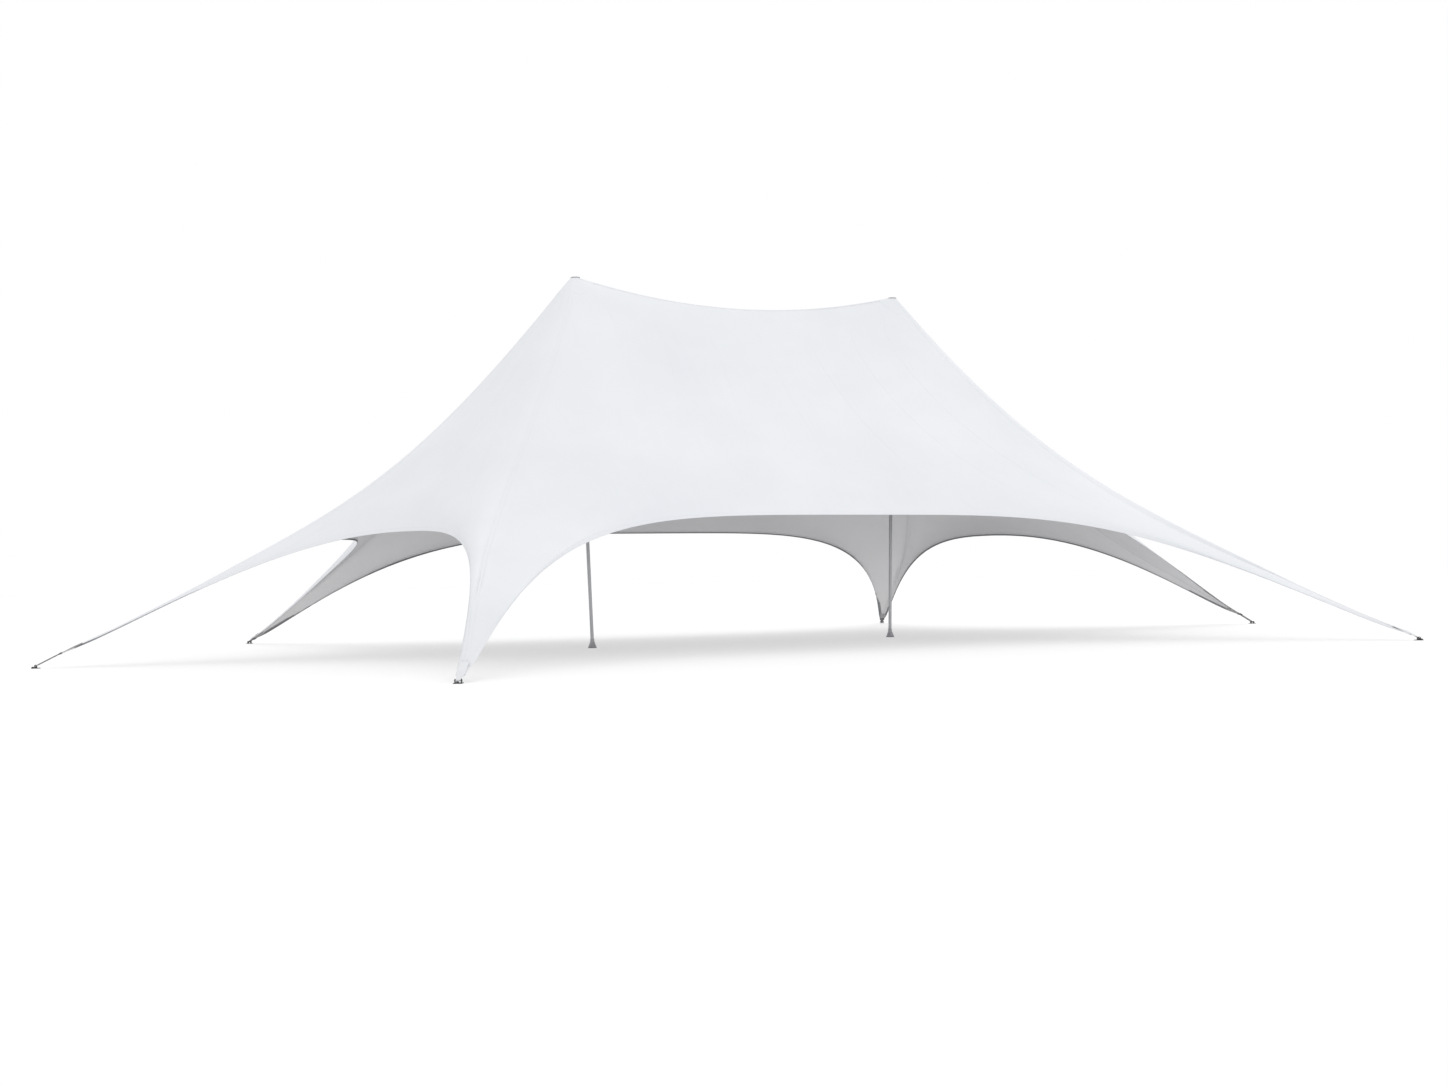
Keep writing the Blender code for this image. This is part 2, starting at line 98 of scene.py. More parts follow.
class Panel(Enum):
    """The six cloth panels, anticlockwise, each from one anchor's leg line to the next."""

    LEFT_FRONT = (Anchor.LEFT, Anchor.FRONT_LEFT)
    FRONT = (Anchor.FRONT_LEFT, Anchor.FRONT_RIGHT)
    RIGHT_FRONT = (Anchor.FRONT_RIGHT, Anchor.RIGHT)
    RIGHT_BACK = (Anchor.RIGHT, Anchor.BACK_RIGHT)
    BACK = (Anchor.BACK_RIGHT, Anchor.BACK_LEFT)
    LEFT_BACK = (Anchor.BACK_LEFT, Anchor.LEFT)

    @property
    def first(self) -> Anchor:
        """Anchor at the panel's first leg line."""
        return self.value[0]

    @property
    def last(self) -> Anchor:
        """Anchor at the panel's last leg line."""
        return self.value[1]

    @property
    def is_long(self) -> bool:
        """True for the two panels that reach from mast to mast."""
        return not (self.first.is_end or self.last.is_end)

    @classmethod
    def beside(cls, anchor: Anchor) -> tuple["Panel", "Panel"]:
        """The panel that ends at an anchor's leg line, and the one that starts there."""
        return (next(panel for panel in cls if panel.last is anchor),
                next(panel for panel in cls if panel.first is anchor))

    @property
    def node(self) -> str:
        """Name of the CAD node that this panel stands for."""
        return "canopy_" + self.name.lower()


class Face(Enum):
    """The two faces of the cloth, by which way they look along its normal."""

    OUTER = 1
    INNER = -1


# --- Colour and shader nodes -----------------------------------------------------------------


def srgb(code: str) -> tuple[float, float, float, float]:
    """Turn an sRGB hex code into a linear colour.

    Args:
        code: six hex digits after a "#".

    Returns:
        Linear red, green and blue, and an alpha of one.
    """
    values = [int(code[start:start + 2], 16) / 255 for start in (1, 3, 5)]
    linear = [v / 12.92 if v <= 0.04045 else ((v + 0.055) / 1.055) ** 2.4 for v in values]
    return (*linear, 1.0)


def add_node(tree: NodeTree, kind: str, settings: dict | None = None,
             inputs: dict | None = None) -> Node:
    """Add a shader node.

    Args:
        tree: the node tree it joins.
        kind: Blender's type name of the node.
        settings: properties of the node to set.
        inputs: for each input socket, a value to set or an output socket to link.

    Returns:
        The new node.
    """
    node = tree.nodes.new(kind)
    for name, value in (settings or {}).items():
        setattr(node, name, value)
    for socket, value in (inputs or {}).items():
        if isinstance(value, NodeSocket):
            tree.links.new(value, node.inputs[socket])
        else:
            node.inputs[socket].default_value = value
    return node


@dataclass(frozen=True)
class Finish:
    """A surface with one colour. Each kind of surface adds its own pattern to it."""

    title: str
    colour: str
    roughness: float
    metallic: float = 0.0

    def build(self) -> Material:
        """Make the Blender material.

        Returns:
            A node material with this finish's pattern.
        """
        material = bpy.data.materials.new(self.title)
        material.use_nodes = True
        material.diffuse_color = srgb(self.colour)
        tree = material.node_tree
        tree.nodes.clear()
        shader = add_node(tree, "ShaderNodeBsdfPrincipled",
                          inputs={"Base Color": srgb(self.colour), "Roughness": self.roughness,
                                  "Metallic": self.metallic})
        self.add_pattern(tree, shader)
        add_node(tree, "ShaderNodeOutputMaterial", inputs={"Surface": shader.outputs["BSDF"]})
        return material

    def add_pattern(self, tree: NodeTree, shader: Node) -> None:
        """Add the surface's pattern.

        Args:
            tree: the material's node tree.
            shader: its Principled shader.
        """

    def mix_colours(self, tree: NodeTree, share: NodeSocket,
                    first: object, second: object) -> NodeSocket:
        """Blend two colours by a share, 0 for the first and 1 for the second."""
        mix = add_node(tree, "ShaderNodeMix", {"data_type": "RGBA"},
                       {"Factor": share, "A": first, "B": second})
        return mix.outputs["Result"]

    def lay_on(self, tree: NodeTree, shader: Node,
               colour: NodeSocket, height: NodeSocket, strength: float,
               depth: float) -> None:
        """Give the shader a colour and a relief.

        Args:
            tree: the material's node tree.
            shader: its Principled shader.
            colour: output socket of the colour.
            height: output socket of the relief's height.
            strength: of the relief.
            depth: of the relief, in metres.
        """
        relief = add_node(tree, "ShaderNodeBump",
                          inputs={"Height": height, "Strength": strength, "Distance": depth})
        tree.links.new(colour, shader.inputs["Base Color"])
        tree.links.new(relief.outputs["Normal"], shader.inputs["Normal"])


@dataclass(frozen=True)
class CoatedCloth(Finish):
    """PVC-coated polyester: a satin lacquer over a plain weave that shows through faintly."""

    weathered: str = "#D4D7DC"
    dust: str = "#B9B2A5"
    weathering: float = 0.5
    dust_height: float = 0.9
    # The real threads lie 1.2 mm apart. They are drawn 4 mm apart so that they can be seen.
    weave_pitch: float = 0.004
    weave_depth: float = 0.00012
    lacquer: float = 0.05

    def add_pattern(self, tree: NodeTree, shader: Node) -> None:
        """Add weave, weathering and the dust that splashes up from the ground.

        Args:
            tree: the material's node tree.
            shader: its Principled shader.
        """
        cloth = add_node(tree, "ShaderNodeUVMap", {"uv_map": CLOTH_MAP})
        bands = 2 * math.pi / self.weave_pitch / 20
        threads = []
        for direction in ("X", "Y"):
            wave = add_node(tree, "ShaderNodeTexWave", {"bands_direction": direction},
                            {"Vector": cloth.outputs["UV"], "Scale": bands, "Distortion": 0.4,
                             "Detail": 1.0, "Detail Scale": 0.5})
            threads.append(wave.outputs["Fac"])
        weave = add_node(tree, "ShaderNodeMath", {"operation": "MULTIPLY"},
                         {0: threads[0], 1: threads[1]})
        place = add_node(tree, "ShaderNodeNewGeometry")
        # Broad, faint clouds of wear, about two metres across
        clouds = add_node(tree, "ShaderNodeTexNoise",
                          inputs={"Vector": place.outputs["Position"], "Scale": 0.45,
                                  "Detail": 3.0, "Roughness": 0.6})
        worn = add_node(tree, "ShaderNodeMapRange",
                        inputs={"Value": clouds.outputs["Fac"], "From Min": 0.35,
                                "From Max": 0.75, "To Max": self.weathering})
        # Rain and dust leave short streaks that run down the cloth
        streaked = add_node(tree, "ShaderNodeMapping",
                            inputs={"Vector": cloth.outputs["UV"], "Scale": (9.0, 0.7, 1.0)})
        streaks = add_node(tree, "ShaderNodeTexNoise",
                           inputs={"Vector": streaked.outputs["Vector"], "Scale": 1.0,
                                   "Detail": 5.0, "Roughness": 0.65})
        split = add_node(tree, "ShaderNodeSeparateXYZ", inputs={0: place.outputs["Position"]})
        low = add_node(tree, "ShaderNodeMapRange",
                       inputs={"Value": split.outputs["Z"], "From Min": 0.02,
                               "From Max": self.dust_height, "To Min": 0.24, "To Max": 0.03})
        dusty = add_node(tree, "ShaderNodeMath", {"operation": "MULTIPLY"},
                         {0: low.outputs["Result"], 1: streaks.outputs["Fac"]})
        clean = self.mix_colours(tree, worn.outputs["Result"], srgb(self.colour),
                                 srgb(self.weathered))
        colour = self.mix_colours(tree, dusty.outputs["Value"], clean, srgb(self.dust))
        gloss = add_node(tree, "ShaderNodeMapRange",
                         inputs={"Value": streaks.outputs["Fac"],
                                 "To Min": self.roughness - 0.07,
                                 "To Max": self.roughness + 0.12})
        self.lay_on(tree, shader, colour, weave.outputs["Value"], 0.5, self.weave_depth)
        tree.links.new(gloss.outputs["Result"], shader.inputs["Roughness"])
        shader.inputs["Coat Weight"].default_value = self.lacquer
        shader.inputs["Coat Roughness"].default_value = 0.35


@dataclass(frozen=True)
class Webbing(Finish):
    """Woven polyester belt: fine ribs along it, crossed by the weft."""

    shade: str = "#6E6F72"
    rib_pitch: float = 0.005      # the real ribs lie 2.5 mm apart
    weft_pitch: float = 0.004     # the real weft lies 1.5 mm apart
    depth: float = 0.0005

    def add_pattern(self, tree: NodeTree, shader: Node) -> None:
        """Add the ribs, the weft between them and a little soiling.

        Args:
            tree: the material's node tree.
            shader: its Principled shader.
        """
        belt = add_node(tree, "ShaderNodeUVMap", {"uv_map": CLOTH_MAP})
        ribs = add_node(tree, "ShaderNodeTexWave", {"bands_direction": "X"},
                        {"Vector": belt.outputs["UV"], "Distortion": 0.3,
                         "Scale": 2 * math.pi / self.rib_pitch / 20})
        weft = add_node(tree, "ShaderNodeTexWave", {"bands_direction": "Y"},
                        {"Vector": belt.outputs["UV"], "Distortion": 0.6,
                         "Scale": 2 * math.pi / self.weft_pitch / 20})
        woven = add_node(tree, "ShaderNodeMath", {"operation": "MULTIPLY"},
                         {0: ribs.outputs["Fac"], 1: weft.outputs["Fac"]})
        soil = add_node(tree, "ShaderNodeTexNoise",
                        inputs={"Vector": belt.outputs["UV"], "Scale": 14.0, "Detail": 4.0})
        share = add_node(tree, "ShaderNodeMath", {"operation": "MULTIPLY_ADD"},
                         {0: woven.outputs["Value"], 1: -0.55, 2: 0.6})
        blend = add_node(tree, "ShaderNodeMath", {"operation": "MULTIPLY_ADD"},
                         {0: soil.outputs["Fac"], 1: 0.25, 2: share.outputs["Value"]})
        colour = self.mix_colours(tree, blend.outputs["Value"], srgb(self.colour),
                                  srgb(self.shade))
        self.lay_on(tree, shader, colour, woven.outputs["Value"], 0.7, self.depth)


@dataclass(frozen=True)
class SpunThread(Finish):
    """Bonded polyester sewing thread, its plies drawn as fine slanting bands."""

    ply_scale: float = 120.0
    shade: str = "#5A5B5D"
    depth: float = 0.0004

    def add_pattern(self, tree: NodeTree, shader: Node) -> None:
        """Add the plies.

        Args:
            tree: the material's node tree.
            shader: its Principled shader.
        """
        place = add_node(tree, "ShaderNodeNewGeometry")
        plies = add_node(tree, "ShaderNodeTexWave", {"bands_direction": "DIAGONAL"},
                         {"Vector": place.outputs["Position"], "Scale": self.ply_scale,
                          "Distortion": 1.0})
        tone = add_node(tree, "ShaderNodeMapRange",
                        inputs={"Value": plies.outputs["Fac"], "To Min": 0.0, "To Max": 0.35})
        colour = self.mix_colours(tree, tone.outputs["Result"], srgb(self.colour),
                                  srgb(self.shade))
        self.lay_on(tree, shader, colour, plies.outputs["Fac"], 0.5, self.depth)


@dataclass(frozen=True)
class Metal(Finish):
    """Bare or painted metal: grain, blotches and rubbed spots, each with its own scale."""

    blotch: str = "#808080"
    blotch_share: float = 0.4
    blotch_scale: float = 9.0
    grain_scale: tuple[float, float, float] = (300.0, 300.0, 300.0)
    grain_depth: float = 0.0002
    grain_strength: float = 0.4
    roughness_spread: float = 0.12

    def add_pattern(self, tree: NodeTree, shader: Node) -> None:
        """Add grain to the relief and the gloss, and blotches to the colour.

        Args:
            tree: the material's node tree.
            shader: its Principled shader.
        """
        place = add_node(tree, "ShaderNodeNewGeometry")
        drawn = add_node(tree, "ShaderNodeMapping",
                         inputs={"Vector": place.outputs["Position"],
                                 "Scale": self.grain_scale})
        grain = add_node(tree, "ShaderNodeTexNoise",
                         inputs={"Vector": drawn.outputs["Vector"], "Scale": 1.0,
                                 "Detail": 4.0, "Roughness": 0.6})
        patches = add_node(tree, "ShaderNodeTexNoise",
                           inputs={"Vector": place.outputs["Position"],
                                   "Scale": self.blotch_scale, "Detail": 5.0})
        share = add_node(tree, "ShaderNodeMapRange",
                         inputs={"Value": patches.outputs["Fac"], "From Min": 0.4,
                                 "From Max": 0.8, "To Max": self.blotch_share})
        gloss = add_node(tree, "ShaderNodeMapRange",
                         inputs={"Value": grain.outputs["Fac"], "From Min": 0.3,
                                 "From Max": 0.7,
                                 "To Min": self.roughness - self.roughness_spread,
                                 "To Max": self.roughness + self.roughness_spread})
        colour = self.mix_colours(tree, share.outputs["Result"], srgb(self.colour),
                                  srgb(self.blotch))
        self.lay_on(tree, shader, colour, grain.outputs["Fac"], self.grain_strength,
                    self.grain_depth)
        tree.links.new(gloss.outputs["Result"], shader.inputs["Roughness"])


@dataclass(frozen=True)
class StudioFloor(Finish):
    """Pale matt floor that glows a little, so the tent's shadow on it stays light."""

    glow: float = 0.42

    def add_pattern(self, tree: NodeTree, shader: Node) -> None:
        """Add the glow."""
        shader.inputs["Emission Color"].default_value = srgb("#FFFFFF")
        shader.inputs["Emission Strength"].default_value = self.glow


class Palette:
    """Every material of the tent, made once."""

    def __init__(self) -> None:
        # Satin white lacquer: the bright outside of the canopy
        self.outer_cloth = CoatedCloth("coated_polyester_white_satin", "#E1E3E7", 0.52).build()
        # Grey coat on the underside, partly its own colour and partly painted shade: the even
        # grey of the canopy seen from below
        self.inner_cloth = CoatedCloth("coated_polyester_grey_underside", "#C6C6C8", 0.6,
                                       weathered="#BABABC", weathering=0.35,
                                       lacquer=0.0).build()
        # Underside of the folded edge and of the collars, where the cloth lies double: a darker
        # grey, painted shade
        self.hem_under_shade = CoatedCloth("coated_polyester_grey_hem", "#BEBEC0", 0.6,
                                     weathered="#B3B3B5", weathering=0.35,
                                     lacquer=0.0).build()
        # Cover of the edge cord, dark grey on the cord's lower side: painted shade that draws the
        # thin dark outline of every free edge
        self.edge_cord_shade = CoatedCloth("coated_polyester_dark_grey_piping", "#77787B", 0.6,
                                     weathered="#6C6D70", lacquer=0.0).build()
        # Reinforcing cloth, welded on in double layers at corners and peaks
        self.patch_cloth = CoatedCloth("coated_polyester_welded_patch", "#DEE0E4", 0.45,
                                       weathered="#D4D6DB").build()
        # Underside of the reinforcement, inside of the flaps and outside of the end legs'
        # patches: darker than the cloth around it, painted shade
        self.patch_under_shade = CoatedCloth("coated_polyester_grey_patch", "#8E8E91", 0.6,
                                       weathered="#828285", lacquer=0.0).build()
        # Dark woven belts along the edges: the thin dark lines under the canopy
        self.belt = Webbing("woven_polyester_belt_grey", "#77787B", 0.85,
                            shade="#545558").build()
        # Woven belts outside on the end legs, near black as painted shade: they make these legs
        # thin and dark from afar
        self.end_belt = Webbing("woven_polyester_belt_dark", "#58595C", 0.85,
                                shade="#3A3B3D").build()
        # Light woven belts under leg lines and ridge: close to the cloth, so they hardly show
        self.spine_belt = Webbing("woven_polyester_belt_light_grey", "#CACACC", 0.85,
                                  shade="#BEBEC0").build()
        # Grey woven straps between canopy and ground
        self.strap = Webbing("woven_polyester_strap_grey", "#8F9093", 0.8,
                             shade="#67686B").build()
        # White sewing thread: faint dotted lines on the outside of hems and leg covers
        self.thread = SpunThread("bonded_polyester_thread_white", "#DFE1E5", 0.6).build()
        # Grey sewing thread on belts and straps
        self.grey_thread = SpunThread("bonded_polyester_thread_grey", "#A2A4A8", 0.7).build()
        # Extruded tube: fine drawing lines along the mast
        self.tube = Metal("aluminium_extruded_anodised", "#ABACAF", 0.36, 1.0,
                          blotch="#9C9DA0", grain_scale=(900.0, 900.0, 3.0),
                          grain_depth=0.0001, blotch_scale=3.0).build()
        # Sand casting: the grainy skin of mast feet and heads
        self.casting = Metal("aluminium_sand_cast", "#B4B5B8", 0.52, 1.0, blotch="#98999C",
                             blotch_scale=26.0, grain_scale=(420.0, 420.0, 420.0),
                             grain_depth=0.0006, grain_strength=0.6).build()
        # White powder coat on the clamp caps, which hardly stand out from the canopy
        self.coated_cap = Metal("aluminium_powder_coated_white", "#C2C4C8", 0.45, 0.0,
                                blotch="#B2B4B8", blotch_scale=30.0,
                                grain_scale=(600.0, 600.0, 600.0), grain_depth=0.0002).build()
        # Dark powder coat on steel: the near-black fittings on the ground
        self.coated_steel = Metal("steel_powder_coated_dark", "#242528", 0.46, 0.0,
                                  blotch="#3C3B38", blotch_share=0.5, blotch_scale=34.0,
                                  grain_scale=(700.0, 700.0, 700.0),
                                  grain_depth=0.0003).build()
        # Zinc on bolts and pins: small bright points
        self.zinc = Metal("steel_zinc_plated", "#8C8E91", 0.34, 1.0, blotch="#77736A",
                          blotch_scale=60.0, grain_depth=0.0001).build()
        # Moulded rubber under the mast feet
        self.rubber = Metal("rubber_moulded_black", "#2B2B2C", 0.75, 0.0, blotch="#3B3A38",
                            grain_depth=0.0004).build()


# --- Shapes ----------------------------------------------------------------------------------


def axis_matrix(origin: Vector, forward: Vector, upward: Vector) -> Matrix:
    """Place with its X axis forward and its Z axis as near to upward as it can be.

    Args:
        origin: the place's origin.
        forward: direction of its X axis.
        upward: direction that its Z axis leans to.

    Returns:
        The placing matrix.
    """
    forward = forward.normalized()
    side = upward.cross(forward).normalized()
    rotation = Matrix((forward, side, forward.cross(side))).transposed()
    return Matrix.Translation(origin) @ rotation.to_4x4()


def spin_matrix(origin: Vector, axis: Vector) -> Matrix:
    """Place at an origin with its Z axis along an axis."""
    turn = axis.normalized().to_track_quat("Z", "Y").to_matrix().to_4x4()
    return Matrix.Translation(origin) @ turn


def polar(radius: float, angle: float, height: float = 0.0) -> Vector:
    """Point at a radius and an angle about the Z axis."""
    return Vector((radius * math.cos(angle), radius * math.sin(angle), height))


def rounded_rectangle(length: float, width: float, radius: float,
                      steps: int = 6) -> list[Vector]:
    """Outline of a rectangle with round corners, about the origin, anticlockwise.

    Args:
        length: size along X.
        width: size along Y.
        radius: of the corners.
        steps: divisions of each corner.

    Returns:
        The outline's points.
    """
    points = []
    for quarter, (x_sign, y_sign) in enumerate(((1, 1), (-1, 1), (-1, -1), (1, -1))):
        centre = Vector((x_sign * (length / 2 - radius), y_sign * (width / 2 - radius), 0.0))
        points += [centre + polar(radius, math.pi / 2 * (quarter + step / steps))
                   for step in range(steps + 1)]
    return points


def run_of(points: np.ndarray) -> np.ndarray:
    """Distance along a line at each of its points."""
    return np.concatenate([[0.0], np.cumsum(np.linalg.norm(np.diff(points, axis=0), axis=1))])


def values_at(stops: np.ndarray | float, run: np.ndarray, values: np.ndarray) -> np.ndarray:
    """Vectors at stops along a run, from those that are known along it."""
    return np.stack([np.interp(stops, run, values[:, axis]) for axis in range(3)], axis=-1)


def resample(points: np.ndarray, spacing: float) -> np.ndarray:
    """Points at even distances along the same line, no farther apart than the spacing."""
    count = max(2, math.ceil(run_of(points)[-1] / spacing) + 1)
    return at_shares(points, np.linspace(0.0, 1.0, count))


def at_shares(points: np.ndarray, shares: np.ndarray) -> np.ndarray:
    """Points of a line at shares of its length, from 0 to 1."""
    run = run_of(points)
    return values_at(shares * run[-1], run, points)


class Shape:
    """Surfaces gathered into one piece, in metres."""

    def __init__(self, name: str) -> None:
        """Start an empty shape.

        Args:
            name: name of the piece it becomes.
        """
        self.name = name
        self.form = bmesh.new()
        self.cloth_map = self.form.loops.layers.uv.new(CLOTH_MAP)
        self.materials: dict[Material, int] = {}

    def material_number(self, material: Material) -> int:
        """Number of a material on this piece, which is added when it is new."""
        return self.materials.setdefault(material, len(self.materials))

    def skin(self, rows: Sequence[Sequence[Vector]],
             material: Material | Sequence[Material],
             ring: bool = False, loop: bool = False) -> None:
        """Span a skin over rows of points.

        Args:
            rows: rows with equal numbers of points.
            material: material of the skin, or one for each step across it.
            ring: whether each row closes on itself.
            loop: whether the last row joins the first; otherwise rings get end faces.
        """
        if isinstance(material, Material):
            material = [material] * len(rows[0])
        numbers = [self.material_number(entry) for entry in material]
        grid = [[self.form.verts.new(point) for point in row] for row in rows]
        along = run_of(np.array([row[0] for row in rows]))
        across = [run_of(np.array(row)) for row in rows]
        row_count, width = len(grid), len(grid[0])
        for one in range(row_count if loop else row_count - 1):
            two = (one + 1) % row_count
            for left in range(width if ring else width - 1):
                right = (left + 1) % width
                spots = ((one, left), (one, right), (two, right), (two, left))
                face = self.form.faces.new([grid[row][column] for row, column in spots])
                face.material_index = numbers[left]
                for corner, (row, column) in zip(face.loops, spots):
                    corner[self.cloth_map].uv = across[row][column], along[row]
        if ring and not loop:
            for row in (grid[0], grid[-1]):
                face = self.form.faces.new(row)
                face.material_index = numbers[0]

    def turned(self, profile: Sequence[tuple[float, float]], place: Matrix,
               material: Material, sides: int = 48) -> None:
        """Turn a profile about the place's Z axis.

        Args:
            profile: (radius, height) points from one end to the other.
            place: where it goes.
            material: its material.
            sides: number of sides.
        """
        rows = [[place @ polar(max(radius, TINY), 2 * math.pi * step / sides, height)
                 for step in range(sides)] for radius, height in profile]
        self.skin(rows, material, ring=True)

    def plate(self, outline: Sequence[Vector], thickness: float, place: Matrix,
              material: Material, hole: float = 0.0, edge: float = 0.0008) -> None:
        """A flat plate with chamfered edges, from z = 0 up, with a hole at its origin if wanted.

        Args:
            outline: points around the origin, in the plate's plane.
            thickness: of the plate.
            place: where it goes.
            material: its material.
            hole: radius of the hole, 0 for none.
            edge: width of the chamfers.
        """
        rows = []
        for inset, height in ((None, 0.0), (edge, 0.0), (0.0, edge), (0.0, thickness - edge),
                              (edge, thickness), (None, thickness)):
            row = []
            for point in outline:
                flat = point.normalized()
                spot = flat * max(hole, TINY) if inset is None else point - flat * inset
                row.append(place @ Vector((spot.x, spot.y, height)))
            rows.append(row)
        self.skin(rows, material, ring=True, loop=hole > 0)

    def block(self, size: tuple[float, float, float], place: Matrix,
              material: Material, rounding: float = 0.001) -> None:
        """A box about its place's origin, with rounded edges.

        Args:
            size: along X, Y and Z.
            place: where it goes.
            material: its material.
            rounding: width of the rounding.
        """
        part = bmesh.new()
        bmesh.ops.create_cube(part, size=1.0, matrix=Matrix.Diagonal((*size, 1.0)))
        bmesh.ops.bevel(part, geom=part.edges[:], offset=rounding, segments=2, profile=0.5,
                        affect="EDGES")
        number = self.material_number(material)
        copies = {corner: self.form.verts.new(place @ corner.co) for corner in part.verts}
        for face in part.faces:
            copy = self.form.faces.new([copies[corner] for corner in face.verts])
            copy.material_index = number
        part.free()

    def tube(self, path: Sequence[Vector], radius: float, material: Material,
             sides: int = 10, closed: bool = False, ripple: float = 0.0) -> None:
        """A round bar along a path.

        Args:
            path: points of its middle line.
            radius: of the bar.
            material: its material.
            sides: number of sides.
            closed: whether the bar joins its own start.
            ripple: share by which the radius swells and shrinks, as a weld bead does.
        """
        rows = []
        count = len(path)
        side = None
        for number, point in enumerate(path):
            ahead = path[(number + 1) % count] if closed or number + 1 < count else point
            behind = path[number - 1] if closed or number else point
            way = (ahead - behind).normalized()
            if side is None:
                side = way.orthogonal().normalized()
            side = (side - way * side.dot(way)).normalized()
            other = way.cross(side)
            own = radius * (1 + ripple * math.sin(number * 2.1))
            rows.append([point + own * (side * math.cos(2 * math.pi * step / sides)
                                        + other * math.sin(2 * math.pi * step / sides))
                         for step in range(sides)])
        self.skin(rows, material, ring=True, loop=closed)

    def bolt(self, place: Matrix, flats: float, height: float, material: Material,
             washer: float = 1.35) -> None:
        """A hexagon bolt head on a washer, standing on its place's XY plane.

        Args:
            place: where it goes.
            flats: width of the head over its flats.
            height: of head and washer together.
            material: its material.
            washer: radius of the washer as a share of the head's corner radius.
        """
        corner = flats / math.sqrt(3)
        seat = height * 0.25
        self.turned(((0, -0.001), (corner * washer, -0.001), (corner * washer, seat * 0.8),
                     (corner * washer - seat * 0.2, seat), (0, seat)), place, material, 28)
        self.turned(((0, seat), (corner, seat), (corner, height * 0.86),
                     (corner * 0.86, height), (0, height)), place, material, 6)

    def make(self) -> Object:
        """Turn the shape into a piece in the scene.

        Returns:
            The new object.
        """
        bmesh.ops.remove_doubles(self.form, verts=self.form.verts[:], dist=MERGE_DISTANCE)
        bmesh.ops.recalc_face_normals(self.form, faces=self.form.faces[:])
        mesh = bpy.data.meshes.new(self.name)
        self.form.to_mesh(mesh)
        self.form.free()
        for material in self.materials:
            mesh.materials.append(material)
        mesh.shade_smooth()
        mesh.set_sharp_from_angle(angle=SHARP_ANGLE)
        return place_piece(self.name, mesh)


def place_piece(name: str, mesh: Mesh) -> Object:
    """Put a mesh in the scene under its own name.

    Args:
        name: the piece's name.
        mesh: its mesh.

    Returns:
        The new object.
    """
    piece = bpy.data.objects.new(name, mesh)
    bpy.context.scene.collection.objects.link(piece)
    return piece


def register(piece: Object, slot: str, nodes: Iterable[str] = ()) -> None:
    """Tie a piece to the frame and report it.

    Args:
        piece: the piece.
        slot: material slot of the record that the piece belongs to, which is only logged.
        nodes: CAD nodes that it stands for.
    """
    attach(piece, BODY)
    nodes = tuple(nodes)
    if nodes:
        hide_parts(*nodes)
    log.info("%s: %d faces, slot %s, stands for %s", piece.name, len(piece.data.polygons), slot,
             ", ".join(nodes) or "no CAD node")


# --- Layout and form of the canopy -----------------------------------------------------------


@dataclass(frozen=True)
class TentLayout:
    """Places of masts, anchors and canopy corners, in metres, as the frame has them."""

    peak_height: float = 5.5
    mast_foot_x: float = 2.550
    mast_lean: float = 0.170
    end_anchor_x: float = 10.134
    side_anchor_x: float = 6.480
    side_anchor_y: float = 7.004
    ring_radius: float = 0.062
    tip_width: float = 0.085
    end_tip_reach: float = 0.30
    side_tip_reach: float = 0.13
    tip_slope: float = math.radians(27.0)
    pin_above_ground: float = 0.030

    def anchor(self, anchor: Anchor) -> Vector:
        """Place of an anchor on the ground.

        Args:
            anchor: the anchor.

        Returns:
            Its place.
        """
        x_sign = anchor.mast.value
        if anchor.is_end:
            return Vector((x_sign * self.end_anchor_x, 0.0, 0.0))
        y_sign = -1 if "front" in anchor.value else 1
        return Vector((x_sign * self.side_anchor_x, y_sign * self.side_anchor_y, 0.0))

    def foot(self, side: Side) -> Vector:
        """Place of a mast's foot on the ground."""
        return Vector((side.value * self.mast_foot_x, 0.0, 0.0))

    def peak(self, side: Side) -> Vector:
        """Centre of the canopy's ring on a mast."""
        return Vector((side.value * (self.mast_foot_x + self.mast_lean), 0.0, self.peak_height))

    def inward(self, anchor: Anchor) -> Vector:
        """Level direction from an anchor towards its mast head.

        Args:
            anchor: the anchor.

        Returns:
            The direction, of length one.
        """
        way = self.peak(anchor.mast) - self.anchor(anchor)
        way.z = 0.0
        return way.normalized()

    def across(self, anchor: Anchor) -> Vector:
        """Level direction across an anchor's leg line, towards the last panel's side."""
        return UP.cross(self.inward(anchor))

    def tip(self, anchor: Anchor) -> Vector:
        """Middle of the canopy's cut end at an anchor.

        Args:
            anchor: the anchor.

        Returns:
            The tip's place.
        """
        reach = self.end_tip_reach if anchor.is_end else self.side_tip_reach
        height = self.pin_above_ground + reach * math.tan(self.tip_slope)
        return self.anchor(anchor) + self.inward(anchor) * reach + UP * height

    def tip_corner(self, anchor: Anchor, onward: int) -> Vector:
        """Corner of the cut end on the side of the next anchor (1) or of the last one (-1)."""
        return self.tip(anchor) - self.across(anchor) * (onward * self.tip_width / 2)

    def leg_angle(self, anchor: Anchor) -> float:
        """Angle in plan at which an anchor's leg line leaves its mast head."""
        away = -self.inward(anchor)
        return math.atan2(away.y, away.x)

    def ring_point(self, side: Side, angle: float) -> Vector:
        """Point of the canopy's ring on a mast, at an angle in plan."""
        return self.peak(side) + self.ring_radius * polar(1.0, angle)


